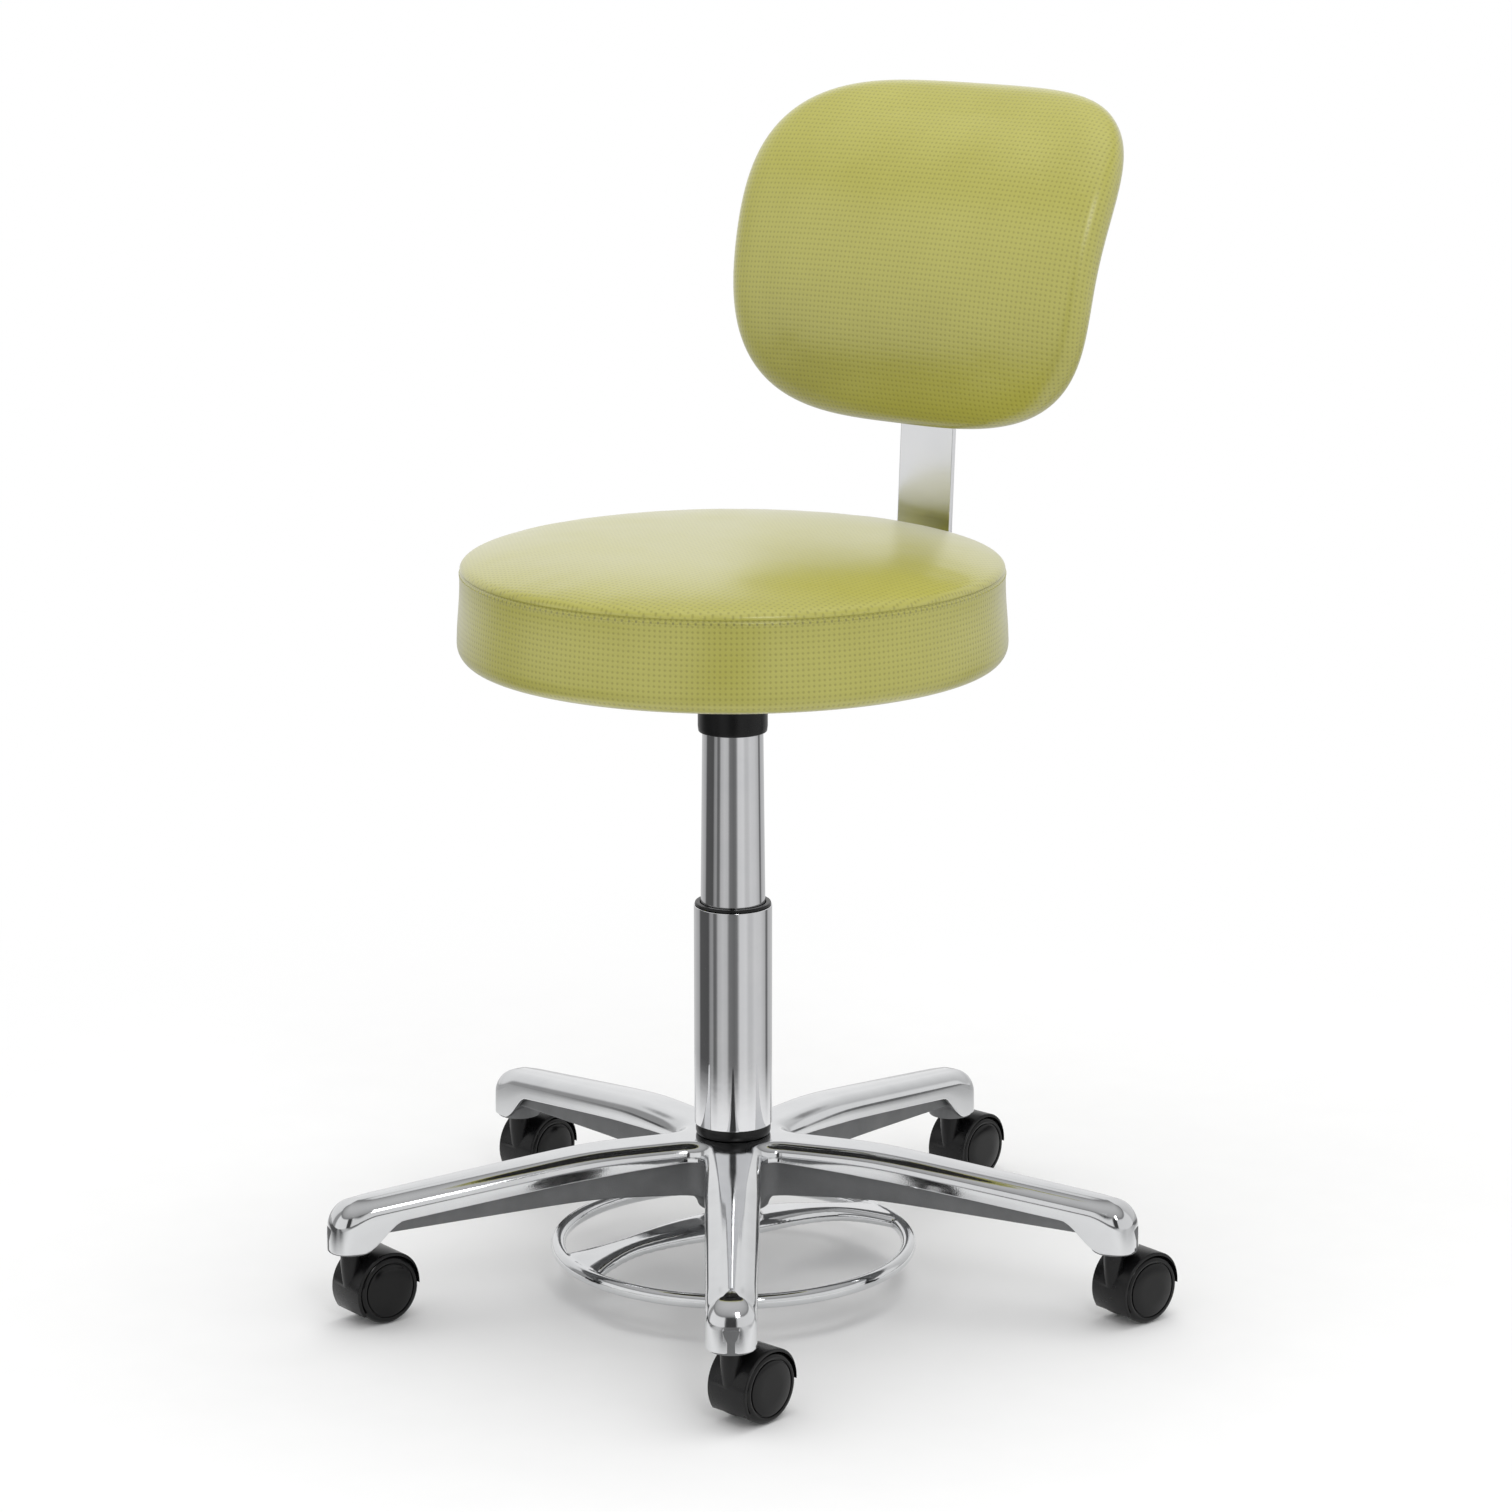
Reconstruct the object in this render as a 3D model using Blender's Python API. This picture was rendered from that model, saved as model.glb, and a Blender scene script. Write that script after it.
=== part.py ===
"""A foot-released dental stool: star base on five twin casters, two-stage gas column, round seat, backrest.

Metres, +Z up. The origin is on the floor under the column, the sitter faces -Y and the backrest is at +Y.
An azimuth is counted from -Y towards +X, so azimuth 0 is the front of the stool.
"""

from math import atan
from math import cos
from math import pi
from math import radians
from math import sin
from math import sqrt
from math import tan

import bmesh
import bpy
from mathutils import Matrix
from mathutils import Vector

# Fits: the gap that touching pieces keep, and the play of a turning fit
GAP = 0.0003
PLAY = 0.0006

# Facets of the round pieces
COLUMN_SIDES = 24
INNER_SIDES = 16
WHEEL_SIDES = 16
SEAT_SIDES = 36
BORE_SIDES = 10
ARM_STATIONS = 6
NOSE_STEPS = 3
FILLET_STEPS = 3
ARM_STATION_SPREAD = 0.72
CORNER_STEPS = 4
CROWN_STEPS = 6
BAND_STEPS = 5
EDGE_STEPS = 4
BEND_STEPS = 6
RING_SIDES = 48
RING_BAR_SIDES = 8
SPOKE_STEPS = 9
BACK_SIDES = 36
BACK_STEPS = 7
HOOD_STEPS = 14
WELD = 0.000001

# Casters
WHEEL_RADIUS = 0.0260
WHEEL_WIDTH = 0.0100
CASTER_WIDTH = 0.0360
CASTER_TRAIL = 0.0228
WHEEL_DISC_RADIUS = 0.0200
WHEEL_DISC_SINK = 0.0004
WHEEL_GROOVE = 0.0015
WHEEL_RIM = 0.0040
WHEEL_HUB_RADIUS = 0.0055
HOOD_PLAY = 0.0012
HOOD_WALL = 0.0016
HOOD_WIDTH = 0.0356
HOOD_WEB = 0.0152
HOOD_HEADROOM = 0.0032
HOOD_REAR_ANGLE = radians(20)
HOOD_FRONT_ANGLE = radians(214)
POST_RADIUS = 0.0075
AXLE_RADIUS = 0.0030
STEM_RADIUS = 0.0055
STEM_IN_BASE = 0.024
STEM_IN_HOOD = 0.024
CASTER_AZIMUTHS = (176, 168, 177, 177, 167)

# Star base
ARM_COUNT = 5
ARM_AZIMUTH = 38.3
STEM_CIRCLE = 0.297
ARM_TIP_REACH = 0.0170
ARM_ROOT_HALF = 0.0215
ARM_TIP_HALF = 0.0182
ARM_FILLET = 0.0120
ARM_FALL = 0.0240
ARM_KNEE = 0.33
ARM_KNEE_SOFTNESS = 0.08
ARM_TIP_DEPTH = 0.0380
LIP_ROOT_DEPTH = 0.0126
LIP_DEPTH = 0.0183
LIP_GROWTH_LENGTH = 0.090
LIP_WALL = 0.0030
WEB_INSET = 0.0055
WEB_ROOT_DEPTH = 0.0430
WEB_TIP_DEPTH = 0.0255
SKIRT_LENGTH = 0.041
SKIRT_END = 0.012
BOSS_RADIUS = 0.0172
HUB_BOSS_RADIUS = 0.0340
NOSE_SQUARENESS = 2.6
# Rings of the arm's shell: inset at the sides, inset at the nose, drop at the sides, drop at the nose
SHELL_RINGS = (
    (0.0125, 0.0205, 0.0000, 0.0000),
    (0.0060, 0.0115, 0.0013, 0.0035),
    (0.0016, 0.0042, 0.0052, 0.0110),
    (0.0000, 0.0006, 0.0102, 0.0210),
)

# Column
GASKET_HEIGHT = 0.0079
GASKET_RADIUS = 0.0283
GASKET_CHAMFER = 0.3
OUTER_TUBE_RADIUS = 0.0293
OUTER_TUBE_LENGTH = 0.1695
TUBE_WALL = 0.0020
TAPER_LENGTH = 0.0500
TAPER_TOP_RADIUS = 0.0225
TAPER_BOTTOM_RADIUS = 0.0205
TUBE_FLOOR = 0.0050
TAPER_LIP = 0.0025
TAPER_LIP_BORE = 0.0100
BUSH_DEPTH = 0.0180
BUSH_FLANGE = 0.0020
GUIDE_RING_HEIGHT = 0.0155
STOP_CLEARANCE = 0.0030
INNER_TUBE_LENGTH = 0.1785
INNER_TUBE_RADIUS = 0.0245
INNER_TUBE_TOP_RADIUS = 0.0226
GAS_CYLINDER_RADIUS = 0.0140
GAS_CYLINDER_WALL = 0.0015
GAS_CYLINDER_FLOOR = 0.0040
GAS_GLAND = 0.0060
GAS_ROD_RADIUS = 0.0050
GAS_ROD_EXPOSED = 0.0130
PISTON_HEIGHT = 0.0100
PISTON_DROP = 0.0120
VALVE_PIN_RADIUS = 0.0030
VALVE_PIN_LENGTH = 0.0140

# Foot release
ROCKER_RADIUS = 0.0220
ROCKER_HEAD = 0.0040
ROCKER_HEADROOM = 0.0065
ROCKER_STEM_RADIUS = 0.0070
ROCKER_SIDE_PLAY = 0.0018
RETAINING_RING_HEIGHT = 0.0034
RETAINING_RING_BORE = 0.0110
RING_HUB_DROP = 0.0067
RING_HUB_RADIUS = 0.0220
RING_HUB_HEIGHT = 0.0120
RING_RADIUS = 0.1318
RING_BAR_RADIUS = 0.0048
RING_DROP = 0.0250
RING_AZIMUTH = -23.5
SPOKE_ROOT_HALF = 0.0130
SPOKE_MID_HALF = 0.0112
SPOKE_END_HALF = 0.0260
SPOKE_DEPTH = 0.0110
SPOKE_FLARE_START = 0.55
SPOKE_ARCH_POWER = 2.2
SPOKE_IN_RING = 0.8
SCREW_RADIUS = 0.0030

# Seat
CAP_PLUG = 0.0120
CAP_FLANGE = 0.0027
SPINDLE_RADIUS = 0.0130
BUSH_WALL = 0.0027
SOCKET_WALL = 0.0042
SOCKET_HEIGHT = 0.0382
COLLAR_RADIUS = 0.0260
COLLAR_WALL = 0.0025
COLLAR_LAP = 0.0090
PLATE_SIDE = 0.130
PLATE_THICKNESS = 0.0040
PLATE_BOLT_OFFSET = 0.0500
SEAT_RADIUS = 0.2032
SEAT_BAND = 0.0735
SEAT_CROWN = 0.0125
SEAT_CROWN_FLATNESS = 3
SEAT_CROWN_ROUNDNESS = 0.6
SEAM_INSET = 0.0029
SEAT_EDGE = 0.0140
BOARD_MARGIN = 0.0182
BOARD_THICKNESS = 0.0120
BOLT_RADIUS = 0.0030
BOLT_HEAD_RADIUS = 0.0058
BOLT_HEAD = 0.0035
BOLT_HEAD_TAPER = 0.8

# Backrest bar: a flat bar bent up behind the seat and back again behind the cushion
BAR_WIDTH = 0.0500
BAR_THICKNESS = 0.0048
BAR_STANDOFF = 0.0298
BAR_BEND_RADIUS = 0.0120
BAR_LEAN = radians(3.03)
BAR_UPRIGHT = 0.1831
BAR_KNEE_RADIUS = 0.0600
BAR_UPPER_LEG = 0.1110
BRACKET_STATION = 0.0510
BRACKET_WALL = 0.0025
BRACKET_FLANGE = 0.0210
SEAT_BRACKET_LENGTH = 0.0750
SEAT_BRACKET_CLEARANCE = 0.0100
SEAT_BRACKET_START = PLATE_SIDE / 2 + SEAT_BRACKET_CLEARANCE
BAR_END_INSET = 0.0080
BAR_INNER_END = SEAT_BRACKET_START + BAR_END_INSET
BACK_BRACKET_LENGTH = 0.0360
KNOB_RADIUS = 0.0180
KNOB_HEIGHT = 0.0160
KNOB_LOBES = 6
KNOB_LOBE_DEPTH = 0.0016
KNOB_STUD_RADIUS = 0.0040
KNOB_STUD_RELEASE = 0.0018

# Backrest
BACK_TILT = radians(17.8)
BACK_WIDTH = 0.3356
BACK_HEIGHT = 0.2496
BACK_THICKNESS = 0.0744
BACK_TAPER = 0.0351
BACK_TOP_SQUARENESS = 4.14
BACK_BOTTOM_SQUARENESS = 3.22
BACK_EDGE_FULLNESS = 2.12
BACK_BEND = 3.972
BACK_BEND_GROWTH = 33.38
BACK_WRAP = 0.861
BACK_WRAP_GROWTH = 5.03
BACK_RISE = 0.0033
BACK_INSET = 0.0037
BACK_BOARD_WIDTH = 0.150
BACK_BOARD_BELOW = 0.0515
BACK_BOARD_ABOVE = 0.0825
BACK_BOARD_THICKNESS = 0.0090
BACK_BOARD_CORNER = 0.0180
GROOVE_PLAY = 0.0015

# Heights that follow from the sizes above, from the floor upwards
HOOD_RADIUS = WHEEL_RADIUS + HOOD_PLAY + HOOD_WALL
BOSS_UNDERSIDE = WHEEL_RADIUS + HOOD_RADIUS + HOOD_HEADROOM
HUB_TOP = BOSS_UNDERSIDE + ARM_TIP_DEPTH + ARM_FALL
TUBE_FOOT = HUB_TOP + GASKET_HEIGHT + 2 * GAP
TAPER_FOOT = TUBE_FOOT - TAPER_LENGTH
OUTER_TUBE_TOP = TUBE_FOOT + OUTER_TUBE_LENGTH
TUBE_FLOOR_TOP = TUBE_FOOT + TUBE_FLOOR
ROCKER_TOP = TAPER_FOOT - ROCKER_HEADROOM
ROCKER_REST = ROCKER_TOP - ROCKER_HEAD
RETAINING_RING_TOP = ROCKER_REST - GAP
HUB_UNDERSIDE = RETAINING_RING_TOP - RETAINING_RING_HEIGHT - GAP
RING_HUB_TOP = HUB_UNDERSIDE - RING_HUB_DROP
RING_HEIGHT = RING_HUB_TOP - RING_DROP
CAVITY_RADIUS = ROCKER_RADIUS + ROCKER_SIDE_PLAY
BUSH_FOOT = OUTER_TUBE_TOP - BUSH_DEPTH
INNER_TUBE_FOOT = BUSH_FOOT - STOP_CLEARANCE - GUIDE_RING_HEIGHT
LIFT_TRAVEL = INNER_TUBE_FOOT - TUBE_FLOOR_TOP - STOP_CLEARANCE
INNER_TUBE_TOP = INNER_TUBE_FOOT + INNER_TUBE_LENGTH
CAP_FOOT = INNER_TUBE_TOP - CAP_PLUG
FLANGE_TOP = INNER_TUBE_TOP + GAP + CAP_FLANGE
SOCKET_FOOT = FLANGE_TOP + GAP
SOCKET_TOP = SOCKET_FOOT + SOCKET_HEIGHT
PLATE_UNDERSIDE = SOCKET_TOP + GAP
SEAT_UNDERSIDE = PLATE_UNDERSIDE + PLATE_THICKNESS + GAP
SEAM_HEIGHT = SEAT_UNDERSIDE + SEAT_BAND
BAR_TOP_FACE = SEAT_UNDERSIDE - GAP

FINISHES = {
    "polished aluminium": ((0.80, 0.81, 0.82), 0.14, 1.0),
    "chrome": ((0.86, 0.87, 0.88), 0.06, 1.0),
    "zinc plated steel": ((0.56, 0.57, 0.58), 0.32, 1.0),
    "black steel": ((0.020, 0.020, 0.022), 0.40, 0.0),
    "black nylon": ((0.022, 0.022, 0.024), 0.34, 0.0),
    "olive vinyl": ((0.435, 0.455, 0.105), 0.42, 0.0),
    "plywood": ((0.42, 0.27, 0.13), 0.70, 0.0),
}

frames = {}
empties = {}


def finish(name):
    if name in bpy.data.materials:
        return bpy.data.materials[name]
    colour, roughness, metallic = FINISHES[name]
    material = bpy.data.materials.new(name)
    material.use_nodes = True
    shader = material.node_tree.nodes["Principled BSDF"]
    shader.inputs["Base Color"].default_value = (*colour, 1.0)
    shader.inputs["Roughness"].default_value = roughness
    shader.inputs["Metallic"].default_value = metallic
    return material


def moving_body(name, parent, frame):
    """An empty on the joint's axis, which carries the pieces that move together."""
    empty = bpy.data.objects.new(name, None)
    bpy.context.scene.collection.objects.link(empty)
    if parent:
        empty.parent = empties[parent]
        empty.matrix_local = frames[parent].inverted() @ frame
    else:
        empty.matrix_local = frame
    frames[name] = frame
    empties[name] = empty


def shaded_mesh(name, bm, finish_name):
    bmesh.ops.recalc_face_normals(bm, faces=bm.faces)
    mesh = bpy.data.meshes.new(name)
    bm.to_mesh(mesh)
    bm.free()
    mesh.shade_smooth()
    mesh.set_sharp_from_angle(angle=radians(35))
    mesh.materials.append(finish(finish_name))
    return mesh


def placed(name, mesh, body):
    obj = bpy.data.objects.new(name, mesh)
    bpy.context.scene.collection.objects.link(obj)
    obj.parent = empties[body]
    return obj


def piece(name, bm, finish_name, body):
    """A piece drawn in the stool's frame, moved into the frame of the body that carries it."""
    bmesh.ops.transform(bm, matrix=frames[body].inverted(), verts=bm.verts)
    return placed(name, shaded_mesh(name, bm, finish_name), body)


def helper(name, bm, body):
    obj = piece(name, bm, "black nylon", body)
    obj.hide_render = True
    obj.display_type = "WIRE"
    return obj


def boolean(obj, operation, other):
    modifier = obj.modifiers.new(operation.lower() + " " + other.name, "BOOLEAN")
    modifier.operation = operation
    modifier.object = other
    modifier.solver = "EXACT"


def heading(azimuth):
    angle = radians(azimuth)
    return Vector((sin(angle), -cos(angle), 0.0))


def standing_frame(azimuth, point):
    """Local Y runs along the azimuth, Z stays up."""
    turn = Matrix.Rotation(radians(azimuth) + pi, 4, "Z")
    return Matrix.Translation(point) @ turn


def turned(profile, sides, ring=False, bm=None):
    """A profile of (radius, height) points turned about Z. A ring's profile closes on itself."""
    bm = bm or bmesh.new()
    points = [bm.verts.new((radius, 0.0, height)) for radius, height in profile]
    follow = points[1:] + points[:1] if ring else points[1:]
    edges = [bm.edges.new(pair) for pair in zip(points, follow)]
    half_side = Matrix.Rotation(pi / sides, 3, "Z")
    bmesh.ops.rotate(bm, verts=points, cent=(0, 0, 0), matrix=half_side)
    bmesh.ops.spin(
        bm, geom=points + edges, cent=(0, 0, 0), axis=(0, 0, 1), angle=2 * pi, steps=sides, use_merge=True
    )
    bmesh.ops.remove_doubles(bm, verts=bm.verts, dist=WELD)
    return bm


def tube_profile(inner, outer, low, high):
    return [(outer, high), (outer, low), (inner, low), (inner, high)]


def rod_profile(radius, low, high):
    return [(0.0, high), (radius, high), (radius, low), (0.0, low)]


def loft(rings, bm=None):
    """A closed body through rings of as many points each, capped at both ends."""
    bm = bm or bmesh.new()
    loops = [[bm.verts.new(point) for point in ring] for ring in rings]
    count = len(loops[0])
    for low, high in zip(loops, loops[1:]):
        for index in range(count):
            after = (index + 1) % count
            bm.faces.new((low[index], low[after], high[after], high[index]))
    bm.faces.new(loops[0])
    bm.faces.new(loops[-1])
    return bm


def rounded_rectangle(width, height, corner, steps=CORNER_STEPS):
    """Points (x, y) around a rectangle with round corners."""
    points = []
    for quarter in range(4):
        start = quarter * pi / 2
        across = (width / 2 - corner) * (1 if quarter in (0, 3) else -1)
        along = (height / 2 - corner) * (1 if quarter in (0, 1) else -1)
        for step in range(steps + 1):
            angle = start + step * pi / 2 / steps
            points.append((across + corner * cos(angle), along + corner * sin(angle)))
    return points


def slab(outline, low, high):
    return loft([[(x, y, low) for x, y in outline], [(x, y, high) for x, y in outline]])


def rods(places, radius, low, high, sides=BORE_SIDES):
    """Round bodies, each along the Z axis of its place."""
    bm = bmesh.new()
    turns = [2 * pi * side / sides for side in range(sides)]
    circle = [(radius * cos(turn), radius * sin(turn)) for turn in turns]
    for place in places:
        loft([[place @ Vector((x, y, z)) for x, y in circle] for z in (low, high)], bm)
    return bm


def soft_ramp(value):
    """Level before 0, then rising at a slope of 1, with a soft knee."""
    return (value + sqrt(value * value + ARM_KNEE_SOFTNESS * ARM_KNEE_SOFTNESS)) / 2


def smooth_step(value):
    value = min(max(value, 0.0), 1.0)
    return value * value * (3 - 2 * value)


# Star base


def arm_share(reach):
    """0 where the arm starts, 1 from the caster's stem outwards."""
    return min(max((reach - ARM_ROOT_HALF) / (STEM_CIRCLE - ARM_ROOT_HALF), 0.0), 1.0)


def arm_half(reach):
    return ARM_ROOT_HALF + (ARM_TIP_HALF - ARM_ROOT_HALF) * arm_share(reach)


def arm_top(reach):
    """Level near the hub, then a straight fall to the tip."""
    fall = soft_ramp(arm_share(reach) - ARM_KNEE) - soft_ramp(-ARM_KNEE)
    return HUB_TOP - ARM_FALL * fall / (soft_ramp(1 - ARM_KNEE) - soft_ramp(-ARM_KNEE))


def skirt_share(reach):
    return smooth_step((reach - (STEM_CIRCLE - SKIRT_LENGTH)) / (SKIRT_LENGTH - SKIRT_END))


def arm_lip(reach):
    """Lower edge of the polished shell, which sweeps down round the caster's boss."""
    growth = min(max((reach - ARM_ROOT_HALF) / LIP_GROWTH_LENGTH, 0.0), 1.0)
    edge = arm_top(reach) - LIP_ROOT_DEPTH - (LIP_DEPTH - LIP_ROOT_DEPTH) * growth
    share = skirt_share(reach)
    return edge * (1 - share) + (BOSS_UNDERSIDE + HOOD_WALL) * share


def arm_web(reach):
    """Underside of the inset rib."""
    edge = arm_top(reach) - WEB_ROOT_DEPTH - (WEB_TIP_DEPTH - WEB_ROOT_DEPTH) * arm_share(reach)
    return min(edge, arm_lip(reach) + LIP_WALL)


def half_arm_outline(inset, nose_inset):
    """Points (reach, half width) from the fillet between two arms out to the nose."""
    between = pi / ARM_COUNT
    centre = (ARM_ROOT_HALF + ARM_FILLET) / sin(between)
    points = []
    for step in range(FILLET_STEPS):
        angle = pi + between + (pi / 2 - between) * step / FILLET_STEPS
        reach = centre * cos(between) + (ARM_FILLET + inset) * cos(angle)
        points.append((reach, centre * sin(between) + (ARM_FILLET + inset) * sin(angle)))
    start = centre * cos(between)
    for station in range(ARM_STATIONS):
        reach = start + (STEM_CIRCLE - start) * (station / (ARM_STATIONS - 1)) ** ARM_STATION_SPREAD
        points.append((reach, arm_half(reach) - inset))
    length = ARM_TIP_REACH - nose_inset
    for step in range(1, NOSE_STEPS + 1):
        angle = pi / 2 * (1 - step / NOSE_STEPS)
        along = STEM_CIRCLE + length * abs(cos(angle)) ** (2 / NOSE_SQUARENESS)
        points.append((along, (ARM_TIP_HALF - inset) * abs(sin(angle)) ** (2 / NOSE_SQUARENESS)))
    return points


def star_ring(bm, inset, nose_inset, height):
    """The outline of all arms at one inset, as vertices; height gives z from reach."""
    half = half_arm_outline(inset, nose_inset)
    arms = []
    for arm in range(ARM_COUNT):
        along = heading(ARM_AZIMUTH + 360 / ARM_COUNT * arm)
        across = Vector((-along.y, along.x, 0.0))
        left = [bm.verts.new(along * a - across * b + Vector((0, 0, height(a)))) for a, b in half]
        right = [bm.verts.new(along * a + across * b + Vector((0, 0, height(a)))) for a, b in half[1:-1]]
        arms.append((left, right))
    return arms


def star_loop(arms):
    loop = []
    for left, right in arms:
        loop += left + right[::-1]
    return loop


def star_cap(bm, arms):
    """Strips across each arm, and one face over the hub."""
    hub = [left[0] for left, right in arms]
    for arm, (left, right) in enumerate(arms):
        other = [hub[(arm + 1) % ARM_COUNT]] + right
        for index in range(len(left) - 2):
            bm.faces.new((left[index], left[index + 1], other[index + 1], other[index]))
        bm.faces.new((left[-2], left[-1], other[-1]))
    bm.faces.new(hub)


def shell_height(reach, drop, nose_drop):
    nose = smooth_step((reach - STEM_CIRCLE + ARM_TIP_REACH) / (2 * ARM_TIP_REACH))
    return arm_top(reach) - drop - (nose_drop - drop) * nose


def star_body():
    bm = bmesh.new()
    rings = []
    for inset, nose_inset, drop, nose_drop in SHELL_RINGS:
        rings.append(star_ring(bm, inset, nose_inset, lambda a: shell_height(a, drop, nose_drop)))
    rings.append(star_ring(bm, 0.0, 0.0, arm_lip))
    rings.append(star_ring(bm, LIP_WALL, LIP_WALL, arm_lip))
    rings.append(star_ring(bm, WEB_INSET, WEB_INSET, lambda a: arm_lip(a) + LIP_WALL))
    rings.append(star_ring(bm, WEB_INSET, WEB_INSET, arm_web))
    loops = [star_loop(arms) for arms in rings]
    for high, low in zip(loops, loops[1:]):
        for index in range(len(high)):
            after = (index + 1) % len(high)
            bm.faces.new((high[index], high[after], low[after], low[index]))
    star_cap(bm, rings[0])
    star_cap(bm, rings[-1])
    return bm


def stem_places():
    middles = [heading(ARM_AZIMUTH + 360 / ARM_COUNT * arm) * STEM_CIRCLE for arm in range(ARM_COUNT)]
    return [Matrix.Translation(middle) for middle in middles]


def make_base():
    boss_top = BOSS_UNDERSIDE + ARM_TIP_DEPTH / 2
    bosses = rods(stem_places(), BOSS_RADIUS, BOSS_UNDERSIDE, boss_top, INNER_SIDES)
    hub_shoulder = arm_web(HUB_BOSS_RADIUS) + LIP_WALL
    turned(rod_profile(HUB_BOSS_RADIUS, HUB_UNDERSIDE, hub_shoulder), COLUMN_SIDES, bm=bosses)
    socket_top = BOSS_UNDERSIDE + STEM_IN_BASE + GAP
    sockets = rods(stem_places(), STEM_RADIUS + GAP, BOSS_UNDERSIDE - PLAY, socket_top)
    slope = (TAPER_TOP_RADIUS - TAPER_BOTTOM_RADIUS) / TAPER_LENGTH
    cavity_top = TAPER_FOOT - PLAY
    bore = [
        (0.0, TUBE_FOOT),
        (TAPER_TOP_RADIUS + GAP, TUBE_FOOT),
        (TAPER_BOTTOM_RADIUS + GAP - slope * PLAY, cavity_top),
        (CAVITY_RADIUS, cavity_top),
        (CAVITY_RADIUS, HUB_UNDERSIDE - PLAY),
        (0.0, HUB_UNDERSIDE - PLAY),
    ]
    base = piece("star_base", star_body(), "polished aluminium", "base")
    boolean(base, "UNION", helper("base_bosses", bosses, "base"))
    boolean(base, "DIFFERENCE", helper("hub_bore", turned(bore, COLUMN_SIDES), "base"))
    boolean(base, "DIFFERENCE", helper("stem_sockets", sockets, "base"))


# Column and gas spring


def make_column():
    gasket = [
        (TAPER_TOP_RADIUS + GAP, TUBE_FOOT - GAP),
        (OUTER_TUBE_RADIUS - TUBE_WALL, TUBE_FOOT - GAP),
        (GASKET_RADIUS, HUB_TOP + GASKET_HEIGHT * (1 - GASKET_CHAMFER)),
        (GASKET_RADIUS, HUB_TOP + GASKET_HEIGHT * GASKET_CHAMFER),
        (OUTER_TUBE_RADIUS - TUBE_WALL, HUB_TOP + GAP),
        (TAPER_TOP_RADIUS + GAP, HUB_TOP + GAP),
    ]
    piece("base_gasket", turned(gasket, COLUMN_SIDES, ring=True), "black nylon", "base")
    bore = OUTER_TUBE_RADIUS - TUBE_WALL
    cylinder_bore = GAS_CYLINDER_RADIUS + GAP
    outer_tube = [
        (bore, OUTER_TUBE_TOP),
        (OUTER_TUBE_RADIUS, OUTER_TUBE_TOP),
        (OUTER_TUBE_RADIUS, TUBE_FOOT),
        (TAPER_TOP_RADIUS, TUBE_FOOT),
        (TAPER_BOTTOM_RADIUS, TAPER_FOOT),
        (TAPER_LIP_BORE, TAPER_FOOT),
        (TAPER_LIP_BORE, TAPER_FOOT + TAPER_LIP),
        (cylinder_bore, TAPER_FOOT + TAPER_LIP),
        (cylinder_bore, TUBE_FLOOR_TOP),
        (bore, TUBE_FLOOR_TOP),
    ]
    piece("outer_tube", turned(outer_tube, COLUMN_SIDES, ring=True), "chrome", "base")
    bush_bore = INNER_TUBE_RADIUS + GAP
    bush = [
        (bush_bore, OUTER_TUBE_TOP + GAP + BUSH_FLANGE),
        (OUTER_TUBE_RADIUS - TUBE_WALL / 2, OUTER_TUBE_TOP + GAP + BUSH_FLANGE),
        (OUTER_TUBE_RADIUS - TUBE_WALL / 4, OUTER_TUBE_TOP + GAP),
        (bore - GAP, OUTER_TUBE_TOP + GAP),
        (bore - GAP, BUSH_FOOT),
        (bush_bore, BUSH_FOOT),
    ]
    piece("guide_bush", turned(bush, COLUMN_SIDES, ring=True), "black nylon", "base")
    foot = INNER_TUBE_FOOT
    taper_start = OUTER_TUBE_TOP
    inner_tube = [
        (INNER_TUBE_TOP_RADIUS, INNER_TUBE_TOP),
        (INNER_TUBE_RADIUS - GAP, taper_start),
        (INNER_TUBE_RADIUS - GAP, foot + GUIDE_RING_HEIGHT + GAP),
        (INNER_TUBE_RADIUS - TUBE_WALL / 2, foot + GUIDE_RING_HEIGHT + GAP),
        (INNER_TUBE_RADIUS - TUBE_WALL / 2, foot),
        (INNER_TUBE_RADIUS - GAP - TUBE_WALL, foot),
        (INNER_TUBE_RADIUS - GAP - TUBE_WALL, taper_start),
        (INNER_TUBE_TOP_RADIUS - TUBE_WALL, INNER_TUBE_TOP),
    ]
    piece("inner_tube", turned(inner_tube, COLUMN_SIDES, ring=True), "chrome", "lift")
    ring_bore = INNER_TUBE_RADIUS - TUBE_WALL / 2 + GAP
    guide = tube_profile(ring_bore, bore - GAP, foot, foot + GUIDE_RING_HEIGHT)
    piece("guide_ring", turned(guide, COLUMN_SIDES, ring=True), "black nylon", "lift")


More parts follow.
